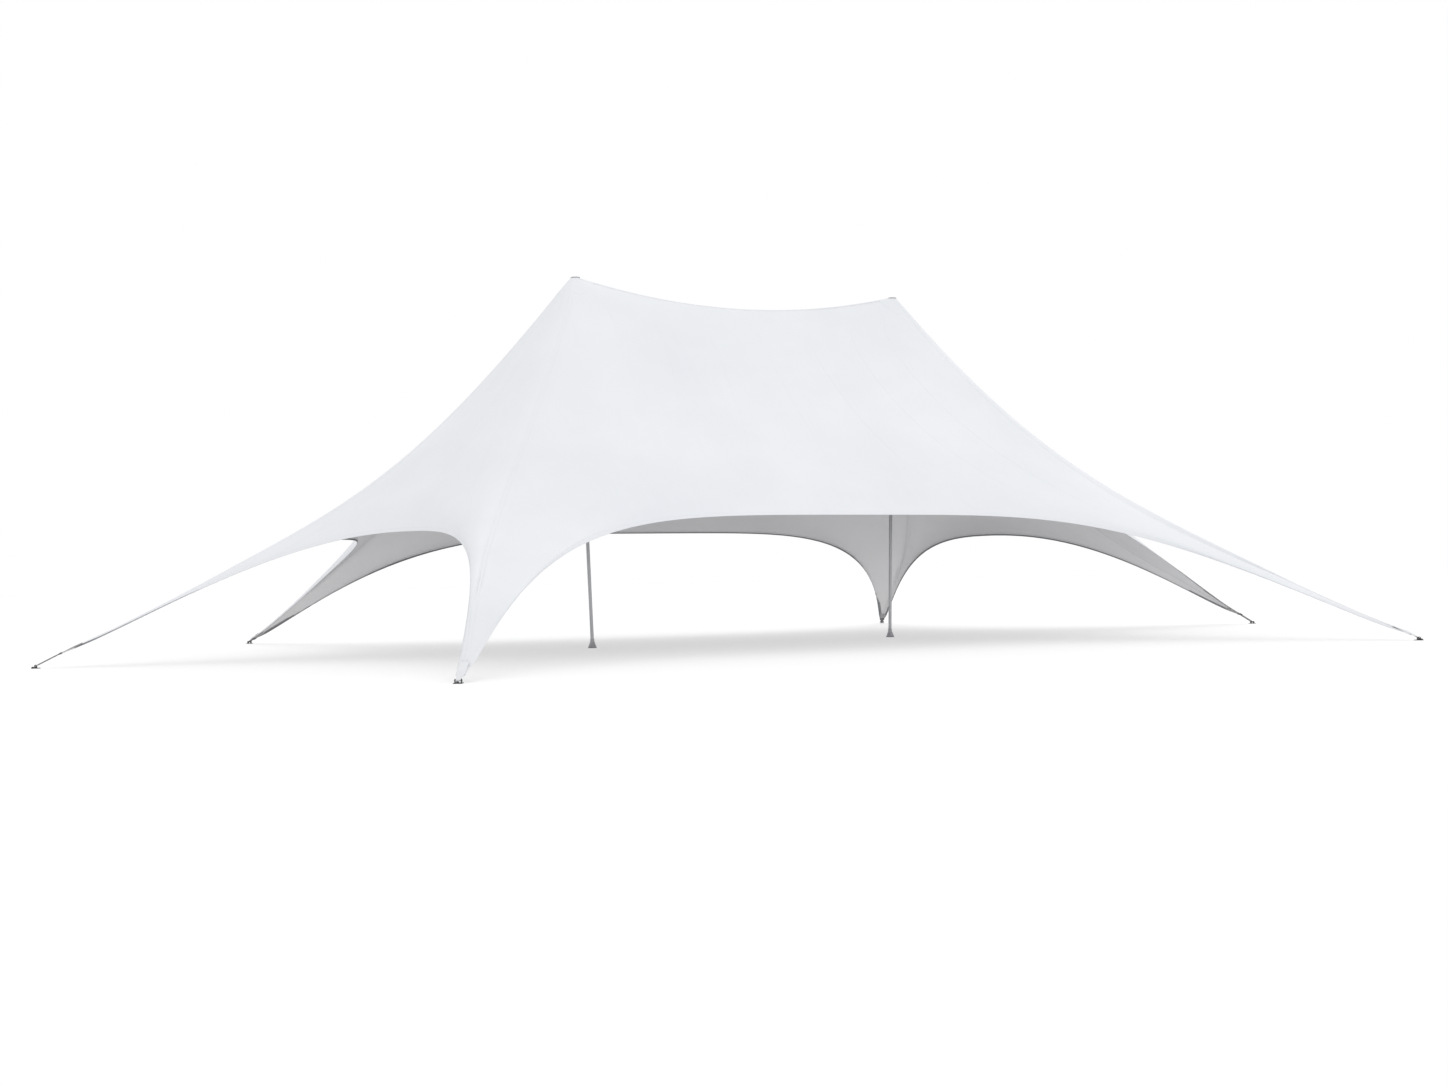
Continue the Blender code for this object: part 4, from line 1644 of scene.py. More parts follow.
    def lay_end_belt(self, shape: Shape, walk: Sequence[Station], tip: Vector) -> None:
        """Lay a near-black belt outside along an end leg's edge, which narrows away from the tip;
        its dark colour is painted shade.

        Args:
            shape: the shape it joins.
            walk: stations of the edge.
            tip: middle of the cloth's cut end.
        """
        near, far = self.end_belt_reach
        inner, outer = self.end_belt
        low, high = self.hem_top * 0.9, self.belt_top + self.end_belt_lift
        rows = []
        for station in walk:
            distance = (station.place - tip).length
            if near < distance < far:
                width = (outer - inner) * (1 - ((distance - near) / (far - near)) ** 2)
                offsets = (inner, inner + width / 2, inner + width)
                rows.append([self.on_cloth(station, offset, high) for offset in offsets]
                            + [self.on_cloth(station, offset, low) for offset in offsets[::-1]])
        shape.skin(rows, self.palette.end_belt, ring=True)

    def build_spine_belts(self) -> Object:
        """Woven belts under the leg lines and the ridge.

        Returns:
            The piece's object.
        """
        offsets = [self.belt_width * share for share in self.band_lines]
        return self.build_bands("canopy_leg_belts", self.spines, offsets, Face.INNER, self.weld,
                                self.half + self.belt_thickness, self.palette.spine_belt)

    def build_covers(self) -> Object:
        """Cover strips over the leg lines and the ridge, on the outside.

        Returns:
            The piece's object.
        """
        offsets = [self.cover_width * share for share in self.band_lines]
        return self.build_bands("canopy_leg_covers", self.spines, offsets, Face.OUTER, self.weld,
                                self.half + self.cover_thickness, self.palette.outer_cloth)

    def build_seams(self, face: Face) -> Object:
        """Welded overlaps between cloth widths, on one face of the cloth.

        Args:
            face: the face.

        Returns:
            The seams' object.
        """
        form, reach = self.surface.form, self.seam_width / 2
        lines = [stations(self.surface, self.off_collars(form.column(panel, column), 0.9),
                          self.spacing * 1.5)[:-1]
                 for panel in Panel for column in self.seam_columns[panel.is_long]]
        cloth = self.palette.outer_cloth if face is Face.OUTER else self.palette.inner_cloth
        return self.build_bands("canopy_seams_" + face.name.lower(), lines, (-reach, 0.0, reach),
                                face, self.weld, self.half + self.seam_thickness, cloth)

    def build_collars(self, face: Face) -> Object:
        """Round reinforcements of the cloth at the two mast heads, on one face.

        Args:
            face: the face.

        Returns:
            The collars' object.
        """
        shape = Shape("canopy_collars_" + face.name.lower())
        # The collars' underside takes the darker grey: painted shade where the cloth lies double
        cloth = self.palette.outer_cloth if face is Face.OUTER else self.palette.hem_under_shade
        heights = (self.half + self.collar_thickness, self.weld)
        angles = [2 * math.pi * step / self.collar_sides for step in range(self.collar_sides)]
        for side in Side:
            peak = self.layout.peak(side)
            rings = [[self.surface.below(peak.x + radius * math.cos(angle),
                                         radius * math.sin(angle)) for angle in angles]
                     for radius in self.collar_radii]
            rows = [[place + normal * face.value * height for place, normal in ring]
                    for height, order in zip(heights, (rings, rings[::-1])) for ring in order]
            shape.skin(rows, cloth, ring=True, loop=True)
        return shape.make()

    def patch_rows(self, anchor: Anchor) -> list[list[tuple[Vector, Vector]]]:
        """Find the places that a corner patch covers.

        Args:
            anchor: the anchor at its tip.

        Returns:
            Places and normals, row by row away from the tip.
        """
        form, layout = self.surface.form, self.layout
        tip, inward = np.array(layout.tip(anchor)), np.array(layout.inward(anchor))
        across = layout.across(anchor)
        leg = resample(form.leg_line(anchor)[::-1], 0.02)
        run = run_of(leg)
        before, after = Panel.beside(anchor)
        # How far the cloth reaches to each side, by the distance in from the tip
        reaches = []
        for edge in (form.edge_line(after), form.edge_line(before)[::-1]):
            away = edge[:30] - tip
            reaches.append((np.hypot(away @ inward, away[:, 2]),
                            np.abs(away @ np.array(across))))
        rows = []
        for step in range(self.patch_steps + 1):
            row = []
            for place in range(-self.patch_half_steps, self.patch_half_steps + 1):
                aside = place / self.patch_half_steps
                distance = (self.patch_reach * step / self.patch_steps
                            * (1 - self.patch_curve * aside ** 2))
                centre = Vector(values_at(distance, run, leg))
                reach = float(np.interp(distance, *reaches[aside > 0])) - self.patch_inset
                row.append(self.surface.near(centre + across * aside * reach))
            rows.append(row)
        return rows

    def build_patches(self, face: Face) -> Object:
        """Corner reinforcements: double cloth from each tip in to a curved end, on one face.

        Args:
            face: the face.

        Returns:
            The patches' object.
        """
        shape = Shape("canopy_corner_patches_" + face.name.lower())
        sign, is_outer = face.value, face is Face.OUTER
        high = (self.hem_top * 1.25 + self.patch_thickness
                + (0.0 if is_outer else self.belt_thickness))
        for anchor in Anchor:
            # The end legs' patches take the dark grey outside as well: painted shade on legs seen
            # edge-on
            is_white = is_outer and not anchor.is_end
            rows = [[place + normal * sign * high for place, normal in row]
                    + [place + normal * sign * self.weld for place, normal in row[::-1]]
                    for row in self.patch_rows(anchor)]
            shape.skin(rows, self.palette.patch_cloth if is_white else self.palette.patch_under_shade,
                       ring=True)
        return shape.make()

    def build_flaps(self) -> Object:
        """White flaps over the side anchors' corner plates and straps, down to the pins.

        Returns:
            The piece's object.
        """
        shape = Shape("canopy_corner_flaps")
        layout = self.layout
        # Half the cross-section: (aside, fall) of the outside, (out, up) towards it from within
        half = [(-1.0, 1.0, -1.0, 0.0), (-1.0, 0.3, -1.0, 0.0), (-0.93, 0.04, -0.6, 0.8),
                (-0.5, 0.0, 0.0, 1.0), (0.0, 0.0, 0.0, 1.0)]
        section = half + [(-aside, fall, -out, up) for aside, fall, out, up in half[-2::-1]]
        # The flaps' inner side takes the darker grey: painted shade under the flap
        materials = ([self.palette.patch_cloth] * len(section)
                     + [self.palette.patch_under_shade] * len(section))
        for anchor in (anchor for anchor in Anchor if not anchor.is_end):
            across, tip = layout.across(anchor), layout.tip(anchor)
            pin = layout.anchor(anchor) + UP * layout.pin_above_ground
            strap = (tip - pin).normalized()
            above = strap.cross(across)
            above *= 1 if above.z > 0 else -1
            spine = []
            for distance, height, width, drop in self.flap_top:
                place, normal = self.surface.near(tip + strap * distance)
                spine.append((place + normal * height, width, drop))
            for share, height, width, drop in self.flap_strap:
                spine.append((pin + (tip - pin) * share + above * height, width, drop))
            for angle in map(math.radians, self.flap_turn):
                turned = above * math.cos(angle) - strap * math.sin(angle)
                spine.append((pin + self.flap_pin_radius * turned, self.flap_end_half,
                              self.flap_end_drop))
            rows = []
            for number, (place, width, drop) in enumerate(spine):
                ahead = spine[min(number + 1, len(spine) - 1)][0]
                behind = spine[max(number - 1, 0)][0]
                outward = (behind - ahead).normalized().cross(across)
                outward *= 1 if outward.dot(place - pin + above * 0.001) > 0 else -1
                outer = [place + across * aside * width - outward * fall * drop
                         for aside, fall, _, _ in section]
                inner = [spot - (across * out + outward * up) * self.flap_thickness
                         for spot, (_, _, out, up) in zip(outer, section)]
                rows.append(outer + inner[::-1])
            shape.skin(rows, materials, ring=True)
        return shape.make()


@dataclass
class Stitching:
    """Rows of stitches, each a small raised length of thread.

    Real stitches are 5 mm long and 0.6 mm thick. They are drawn 22 mm long and 2.4 mm wide so
    that the rows can be seen from a few metres away.
    """

    trim: ClothTrim
    length: float = 0.022
    pitch: float = 0.036
    width: float = 0.0024
    height: float = 0.0011
    # Distance of the rows from a free edge, on belt and hem, and from the side of a leg's belt
    belt_row: float = 0.013
    hem_row: float = 0.044
    spine_inset: float = 0.006

    def rows_on(self, face: Face) -> list[tuple[list[Station], float, float]]:
        """Every row of stitches on one face of the cloth.

        Args:
            face: the face.

        Returns:
            For each row its stations, its distance across them, and its height.
        """
        trim = self.trim
        inner = face is Face.INNER
        hem = trim.hem_top * 1.05
        edge = hem + (trim.belt_thickness + 0.0001 if inner else 0.0)
        spine = trim.half + (trim.belt_thickness if inner else trim.cover_thickness)
        spine_reach = (trim.belt_width if inner else trim.cover_width) / 2 - self.spine_inset
        rows = []
        for walk in trim.edges.values():
            rows += [(walk, self.belt_row, edge), (walk, self.hem_row, hem)]
        for walk in trim.spines:
            rows += [(walk, -spine_reach, spine), (walk, spine_reach, spine)]
        return rows

    def build(self, face: Face) -> Object:
        """Sew all the rows on one face.

        Args:
            face: the face of the cloth.

        Returns:
            The stitches' object.
        """
        bodies = []
        for line, offset, height in self.rows_on(face):
            path = np.array([self.trim.on_cloth(station, offset, face.value * height)
                             for station in line])
            normals = np.array([station.normal for station in line]) * face.value
            bodies.append(self.sew(path, normals))
        corners = np.vstack(bodies)
        sides = np.array([(0, 1, 2, 3), (4, 5, 1, 0), (5, 6, 2, 1), (6, 7, 3, 2), (7, 4, 0, 3),
                          (7, 6, 5, 4)])
        faces = (np.arange(len(corners))[:, None, None] * 8 + sides).reshape(-1, 4)
        mesh = bpy.data.meshes.new("canopy_stitches_" + face.name.lower())
        mesh.from_pydata(corners.reshape(-1, 3).tolist(), [], faces.tolist())
        palette = self.trim.palette
        mesh.materials.append(palette.thread if face is Face.OUTER else palette.grey_thread)
        mesh.shade_smooth()
        mesh.set_sharp_from_angle(angle=SHARP_ANGLE)
        return place_piece(mesh.name, mesh)

    def sew(self, path: np.ndarray, normals: np.ndarray) -> np.ndarray:
        """Place stitches along one path.

        Args:
            path: points of the path.
            normals: direction away from the cloth at each point.

        Returns:
            The eight corners of each stitch.
        """
        run = run_of(path)
        starts = np.arange(self.pitch, run[-1] - self.pitch, self.pitch)
        begin, end = values_at(starts, run, path), values_at(starts + self.length, run, path)
        out = values_at(starts, run, normals)
        out /= np.linalg.norm(out, axis=1)[:, None]
        along = (end - begin) / np.linalg.norm(end - begin, axis=1)[:, None]
        aside = np.cross(out, along) * self.width / 2
        lean = along * self.length * 0.16
        top = out * self.height
        return np.stack([begin + aside * 0.6 + lean + top, end + aside * 0.6 - lean + top,
                         end - aside * 0.6 - lean + top, begin - aside * 0.6 + lean + top,
                         begin + aside - top * 0.3, end + aside - top * 0.3,
                         end - aside - top * 0.3, begin - aside - top * 0.3], axis=1)


class Canopy:
    """The membrane with all that is sewn or welded to it."""

    def __init__(self, layout: TentLayout) -> None:
        """Find the canopy's form.

        Args:
            layout: places of masts, anchors and corners.
        """
        self.form = ClothNet(layout).find_form()
        self.membrane = Membrane(self.form)
        self.pieces: list[tuple[Object, str]] = []

    def build(self, palette: Palette) -> None:
        """Make the sheet and its trim.

        Args:
            palette: the tent's materials.
        """
        self.sheet = self.membrane.build(palette)
        trim = ClothTrim(ClothSurface(self.form), self.membrane, palette)
        stitching = Stitching(trim)
        for face in Face:
            self.pieces += [(trim.build_seams(face), "membrane"),
                            (trim.build_collars(face), "membrane"),
                            (trim.build_patches(face), "membrane"),
                            (stitching.build(face), "membrane")]
        self.pieces += [(trim.build_hems(), "membrane"), (trim.build_covers(), "membrane"),
                        (trim.build_flaps(), "membrane"),
                        (trim.build_edge_belts(), "webbing"),
                        (trim.build_corner_belts(), "webbing"),
                        (trim.build_spine_belts(), "webbing")]

    def dress(self) -> None:
        """Tie the canopy to the frame and say what its cloth is."""
        register(self.sheet, "membrane", [panel.node for panel in Panel])
        for piece, slot in self.pieces:
            register(piece, slot)
        area = self.membrane.area()
        [piece for piece, _ in self.pieces]
        log.info("cloth of %.1f square metres", area)


# --- Masts -----------------------------------------------------------------------------------


@dataclass
class Mast:
    """One mast: cast foot, two lengths of grooved tube, and the head that clamps the canopy."""

    side: Side
    layout: TentLayout
    palette: Palette
    tube_radius: float = 0.025
    foot_height: float = 0.133
    hub_drop: float = 0.075
    hub_radius: float = 0.0588
    joint_share: float = 0.5
    groove_width: float = 0.005
    groove_depth: float = 0.003
    cap_radius: float = 0.070
    cap_bolt_circle: float = 0.052
    seat: float = 0.0023
    end_gap: float = 0.0004
    end_bevel: float = 0.0012
    button_from_joint: float = 0.06
    button_angles: tuple[float, float] = (math.pi * 0.3, math.pi * 1.3)
    pieces: list[tuple[Object, str, str]] = field(default_factory=list)

    @property
    def base(self) -> Vector:
        """Middle of the tube's lower end."""
        return self.layout.foot(self.side) + UP * self.foot_height

    @property
    def top(self) -> Vector:
        """Middle of the tube's upper end."""
        return self.layout.peak(self.side) - UP * self.hub_drop

    def build(self) -> None:
        """Make the mast's pieces."""
        label = self.side.label
        self.pieces = [(self.build_foot(), "mast_casting", "mast_foot_" + label),
                       (self.build_tube("lower", 0.0, self.joint_share), "mast_tube",
                        "mast_lower_" + label),
                       (self.build_tube("upper", self.joint_share, 1.0), "mast_tube",
                        "mast_upper_" + label),
                       (self.build_head(), "mast_casting", "mast_head_" + label)]

    def dress(self) -> None:
        """Tie the pieces to the frame."""
        for piece, slot, node in self.pieces:
            register(piece, slot, [node])

    def build_foot(self) -> Object:
        """The cast foot: rubber pad, flared cone with ribs, clamping collar and cross bolt.

        Returns:
            The piece's object.
        """
        shape = Shape("mast_foot_casting_" + self.side.label)
        foot = self.layout.foot(self.side)
        place = Matrix.Translation(foot)
        shape.turned(((0, 0), (0.0645, 0), (0.066, 0.0012), (0.066, 0.0045), (0.0648, 0.0055),
                      (0, 0.0055)), place, self.palette.rubber, 64)
        shape.turned(((0, 0.005), (0.0636, 0.005), (0.0642, 0.0062), (0.0615, 0.0095),
                      (0.0565, 0.019), (0.0495, 0.036), (0.0432, 0.052), (0.0375, 0.072),
                      (0.0335, 0.092), (0.0315, 0.1075), (0.0308, 0.1085), (0.0308, 0.1115),
                      (0.0316, 0.1125), (0.0316, 0.130), (0.0306, 0.1325), (0, 0.1325)),
                     place, self.palette.casting, 64)
        for step in range(6):
            out = polar(1.0, math.pi / 6 + step * math.pi / 3)
            rib = axis_matrix(foot + out * 0.0462 + UP * 0.043,
                              Vector((-0.36 * out.x, -0.36 * out.y, 0.93)), out)
            shape.block((0.070, 0.005, 0.008), rib, self.palette.casting, 0.0012)
        for sign in (-1, 1):
            way = Vector((0.0, sign, 0.0))
            # The cross bolt, and above it the collar's pinch bolt
            for height, reach, flats, tall in ((0.072, 0.0368, 0.013, 0.0075),
                                               (0.1215, 0.0312, 0.008, 0.0045)):
                shape.bolt(spin_matrix(foot + UP * height + way * reach, way), flats, tall,
                           self.palette.zinc)
        return shape.make()

    def tube_outline(self, scale: float) -> list[Vector]:
        """Cross-section of the tube, with a sail groove to the front and one to the back.

        Args:
            scale: share of the full radius.

        Returns:
            The outline's points.
        """
        radius = self.tube_radius * scale
        half_angle = self.groove_width / 2 / self.tube_radius
        points = []
        for begin in (-math.pi / 2, math.pi / 2):
            points += [polar(radius - self.groove_depth, begin + side * half_angle)
                       for side in (-1, 1)]
            points += [polar(radius, begin + half_angle + (math.pi - 2 * half_angle) * step / 32)
                       for step in range(33)]
        return points

    def build_tube(self, part: str, first: float, last: float) -> Object:
        """One length of tube, with a locking button near its joint.

        Args:
            part: name of the length.
            first: where it starts, as a share of the whole tube.
            last: where it ends.

        Returns:
            The tube's object.
        """
        shape = Shape("mast_tube_%s_%s" % (part, self.side.label))
        run = self.top - self.base
        place = spin_matrix(self.base + run * first, run)
        length = run.length * (last - first)
        gap, bevel = self.end_gap, self.end_bevel
        rows = [[place @ (point + UP * height) for point in self.tube_outline(scale)]
                for scale, height in ((0.95, gap), (1.0, gap + bevel),
                                      (1.0, length - gap - bevel), (0.95, length - gap))]
        shape.skin(rows, self.palette.tube, ring=True)
        button = self.button_from_joint
        button_height = length - button if part == "lower" else button
        for angle in self.button_angles:
            seat = place @ polar(self.tube_radius - 0.0003, angle, button_height)
            shape.turned(((0, -0.001), (0.0055, -0.001), (0.0055, 0.0012), (0.0038, 0.0022),
                          (0, 0.0026)), spin_matrix(seat, place.to_3x3() @ polar(1.0, angle)),
                         self.palette.zinc, 20)
        return shape.make()

    def build_head(self) -> Object:
        """The cast head: swelling hub below the cloth and bolted clamp cap above it.

        Returns:
            The piece's object.
        """
        shape = Shape("mast_head_casting_" + self.side.label)
        peak = self.layout.peak(self.side)
        place = Matrix.Translation(peak)
        hub, drop, seat = self.hub_radius, self.hub_drop, self.seat
        shape.turned(((0, -drop), (0.0275, -drop), (0.029, -drop + 0.0015),
                      (0.0295, -drop * 0.86), (0.0335, -drop * 0.74), (hub * 0.75, -drop * 0.58),
                      (hub * 0.88, -drop * 0.42), (hub * 0.97, -drop * 0.28),
                      (hub, -drop * 0.18), (hub, seat), (0, seat)), place,
                     self.palette.casting, 64)
        cap = self.cap_radius
        shape.turned(((0, seat), (cap - 0.0008, seat), (cap, seat + 0.0008),
                      (cap, seat + 0.0028), (cap - 0.0014, seat + 0.0042),
                      (cap * 0.8, seat + 0.0052), (cap * 0.5, seat + 0.0063),
                      (cap * 0.22, seat + 0.0068), (0, seat + 0.0069)), place,
                     self.palette.coated_cap, 64)
        for step in range(6):
            spot = peak + polar(self.cap_bolt_circle, math.pi / 6 + step * math.pi / 3,
                                seat + 0.0052)
            shape.bolt(Matrix.Translation(spot), 0.008, 0.0034, self.palette.zinc)
        shape.bolt(Matrix.Translation(peak + UP * (seat + 0.0066)), 0.017, 0.0048,
                   self.palette.coated_steel)
        return shape.make()


# --- Ground anchors --------------------------------------------------------------------------


@dataclass
class GroundAnchor:
    """One anchor: plate with two ears, peg, pin, webbing strap and the canopy's corner plate."""

    anchor: Anchor
    layout: TentLayout
    palette: Palette
    rise: float
    plate_size: tuple[float, float, float] = (0.110, 0.090, 0.006)
    ear_thickness: float = 0.006
    ear_length: float = 0.036
    ear_height: float = 0.040
    ear_span: float = 0.070
    pin_radius: float = 0.006
    pin_above_plate: float = 0.024
    peg_offset: float = 0.036
    strap_width: float = 0.050
    strap_thickness: float = 0.0016
    sleeve_size: tuple[float, float] = (0.054, 0.015)
    corner_length: float = 0.045
    corner_width: float = 0.092
    jaw_overlap: float = 0.022
    # Thickness of a cheek, half the gap between both, and their bolts' places along the width
    cheek: float = 0.0032
    jaw_gap: float = 0.0052
    jaw_bolts: tuple[float, ...] = (-0.030, 0.0, 0.030)
    arm_width: float = 0.0115
    bar_radius: float = 0.0043
    bar_inset: float = 0.008
    weld_radius: float = 0.0021
    clip_radius: float = 0.0105
    play: float = 0.0004
    pieces: list[tuple[Object, str, str]] = field(default_factory=list)

    @property
    def place(self) -> Matrix:
        """The anchor's place: X towards the mast, Z up, origin on the ground below the pin."""
        return axis_matrix(self.layout.anchor(self.anchor), self.layout.inward(self.anchor), UP)

    @property
    def across(self) -> Vector:
        """Level direction along the pin."""
        return self.layout.across(self.anchor)

    @property
    def pin_centre(self) -> Vector:
        """Middle of the pin, in the anchor's own place."""
        return Vector((0.0, 0.0, self.plate_size[2] + self.pin_above_plate))

    @property
    def corner_place(self) -> Matrix:
        """Place of the corner plate: origin at the cloth's cut end, X up the leg line.

        Returns:
            The placing matrix.
        """
        inward = self.layout.inward(self.anchor)
        up_leg = inward * math.cos(self.rise) + UP * math.sin(self.rise)
        return axis_matrix(self.layout.tip(self.anchor), up_leg, UP)

    def build(self) -> None:
        """Make the anchor's pieces."""
        label = self.anchor.value
        self.pieces = [(self.build_plate(), "anchor_steel", "ground_plate_" + label),
                       (self.build_peg(), "anchor_steel", "ground_peg_" + label),
                       (self.build_pin(), "anchor_steel", "anchor_pin_" + label),
                       (self.build_corner(), "anchor_steel", "corner_plate_" + label),
                       (self.build_strap(), "webbing", "tension_strap_" + label)]

    def dress(self) -> None:
        """Tie the pieces to the frame."""
        for piece, slot, node in self.pieces:
            register(piece, slot, [node])

    def build_plate(self) -> Object:
        """Base plate with rounded corners, two ears drilled for the pin, and their welds.

        Returns:
            The piece's object.
        """
        shape = Shape("ground_plate_steel_" + self.anchor.value)
        length, width, thick = self.plate_size
        steel = self.palette.coated_steel
        shape.plate(rounded_rectangle(length, width, 0.012), thick, self.place, steel,
                    edge=0.0012)
        half, crown = self.ear_length / 2, self.ear_height - self.pin_above_plate
        foot = -self.pin_above_plate - 0.002
        outline = [Vector((half * math.cos(math.pi * step / 16),
                           crown * math.sin(math.pi * step / 16), 0.0)) for step in range(17)]
        outline += [Vector((x, foot, 0.0)) for x in (-half, -half / 2, 0.0, half / 2, half)]
        for side in (-1, 1):
            middle = side * (self.ear_span - self.ear_thickness) / 2
            centre = Vector((0.0, middle + self.ear_thickness / 2, self.pin_centre.z))
            upright = Matrix.Translation(centre) @ Matrix.Rotation(math.pi / 2, 4, "X")
            shape.plate(outline, self.ear_thickness, self.place @ upright, steel,
                        hole=self.pin_radius + self.play, edge=0.0006)
            seam = [point + Vector((0.0, middle, thick + 0.0004)) for point in
                    rounded_rectangle(self.ear_length + 0.002, self.ear_thickness + 0.002,
                                      0.003, 4)]
            bead = []
            for here, there in zip(seam, seam[1:] + seam[:1]):
                steps = max(1, round((there - here).length / 0.0016))
                bead += [self.place @ here.lerp(there, step / steps) for step in range(steps)]
            shape.tube(bead, self.weld_radius, steel, sides=8, closed=True, ripple=0.13)
        return shape.make()

    def build_peg(self) -> Object:
        """Head of the driven peg: washer, flange and a struck, slightly mushroomed top.

        Returns:
            The piece's object.
        """
        shape = Shape("ground_peg_steel_" + self.anchor.value)
        spot = Vector((-self.peg_offset, 0.0, self.plate_size[2] + 0.0003))
        place = self.place @ Matrix.Translation(spot)
        # The washer, and on it the peg's flange and top
        shape.turned(((0, 0), (0.0172, 0), (0.018, 0.0006), (0.018, 0.0022), (0.0172, 0.0028),
                      (0, 0.0028)), place, self.palette.zinc, 36)
        shape.turned(((0, 0.0026), (0.0125, 0.0026), (0.0148, 0.0046), (0.0152, 0.0085),
                      (0.0146, 0.0118), (0.0122, 0.0146), (0.0085, 0.0158), (0, 0.016)), place,
                     self.palette.coated_steel, 36)
        return shape.make()

    def build_pin(self) -> Object:
        """The pin through both ears, with a head at one end and a ring clip at the other.

        Returns:
            The piece's object.
        """
        shape = Shape("anchor_pin_zinc_" + self.anchor.value)
        radius, half = self.pin_radius, self.ear_span / 2
        centre = self.place @ self.pin_centre
        shape.turned(((0, -half - 0.0055), (radius * 1.45, -half - 0.0055),
                      (radius * 1.6, -half - 0.0045), (radius * 1.6, -half - 0.0012),
                      (radius * 1.45, -half - 0.0004), (radius, -half - 0.0004),
                      (radius, half + 0.0066), (radius * 0.8, half + 0.0082),
                      (0, half + 0.0082)), spin_matrix(centre, self.across),
                     self.palette.zinc, 32)
        middle = centre + self.across * (half + 0.0036)
        clip, turn = self.clip_radius, self.place.to_3x3()
        ring = [middle + turn @ Vector((clip * math.sin(angle), 0.0008 * math.sin(2 * angle),
                                        clip * math.cos(angle) - 0.0072))
                for angle in (2 * math.pi * step / 28 for step in range(28))]
        shape.tube(ring, 0.0009, self.palette.zinc, sides=8, closed=True)
        return shape.make()

    @property
    def bar(self) -> Vector:
        """Middle of the corner plate's bar for the strap."""
        return self.corner_place @ Vector((self.bar_inset - self.corner_length, 0.0, 0.0))

    def build_strap(self) -> Object:
        """Webbing looped around the pin and the corner plate's bar, its layers sewn together on
        the side anchors and held in a sleeve on the end ones.

        Returns:
            The piece's object.
        """
        shape = Shape("tension_strap_webbing_" + self.anchor.value)
        low, high, across = self.place @ self.pin_centre, self.bar, self.across
        run = high - low
        way = run.normalized()
        out = way.cross(across).normalized()
        thick, width = self.strap_thickness, self.strap_width
        # Between the two turns both layers draw together and touch
        close = thick / 2 + 0.0001
        span = min(0.03, run.length * 0.3)
        path: list[Vector] = []
        for centre, radius, sign in ((low, self.pin_radius + self.play / 2, 1),
                                     (high, self.bar_radius + self.play * 0.75, -1)):
            for angle in (math.pi * (step / 12 + sign / 2) for step in range(13)):
                path.append(centre + (radius + thick / 2) * (way * math.cos(angle)
                                                             + out * math.sin(angle)))
            path += [centre + sign * (way * (span + (run.length - 2 * span) * step / 8)
                                      - out * close) for step in range(9)]
        rows = []
        for number, point in enumerate(path):
            ahead, behind = path[(number + 1) % len(path)], path[number - 1]
            normal = (ahead - behind).normalized().cross(across).normalized() * thick / 2
            edge, rim = across * (width / 2 - 0.0006), across * (width / 2)
            rows.append([point + edge + normal, point - edge + normal, point - rim,
                         point - edge - normal, point + edge - normal, point + rim])
        shape.skin(rows, self.palette.strap, ring=True, loop=True)
        if self.anchor.is_end:
            self.add_sleeve(shape, low + way * 0.026, high - way * 0.012, out)
        else:
            self.sew_box(shape, low + run / 2, way, out, run.length - 2 * span)
        return shape.make()

    def add_sleeve(self, shape: Shape, start: Vector, end: Vector, out: Vector) -> None:
        """Pull a padded woven sleeve over the long strap of an end anchor.

        Args:
            shape: the strap's shape.
            start: middle of the sleeve's lower end.
            end: middle of its upper end.
            out: direction away from the strap.
        """
        width, height = self.sleeve_size
        outline = rounded_rectangle(width, height, height * 0.45)
        # Share of the length and scale of the thickness, in at both ends
        stops = ((0.0, 0.3), (0.0, 0.8), (0.015, 1.0), (0.25, 1.0), (0.5, 1.02), (0.75, 1.0),
                 (0.985, 1.0), (1.0, 0.8), (1.0, 0.3))
        rows = [[start.lerp(end, share) + self.across * point.x + out * point.y * scale
                 for point in outline] for share, scale in stops]
        shape.skin(rows, self.palette.strap, ring=True)

    def sew_box(self, shape: Shape, centre: Vector, way: Vector, out: Vector,
                room: float) -> None:
        """Sew a crossed box on both faces of the strap.

        Args:
            shape: the strap's shape.
            centre: middle of the box.
            way: direction along the strap.
            out: direction away from it.
            room: length of strap that is flat.
        """
        along = way * min(0.035, room / 2 - 0.002)
        aside = self.across * (self.strap_width / 2 - 0.007)
        corners = [centre - along - aside, centre + along - aside, centre + along + aside,
                   centre - along + aside]
        seams = list(zip(corners, corners[1:] + corners[:1])) + [corners[0::2], corners[1::2]]
        for sign in (-1, 1):
            lift = out * sign * (self.strap_thickness + 0.0003)
            for one, two in seams:
                stitches = max(2, round((two - one).length / 0.009))
                for number in range(stitches):
                    start = one.lerp(two, (number + 0.12) / stitches) + lift
                    stop = one.lerp(two, (number + 0.88) / stitches) + lift
                    middle = start.lerp(stop, 0.5) + out * sign * 0.0004
                    shape.tube([start, middle, stop], 0.0006, self.palette.grey_thread, sides=6)

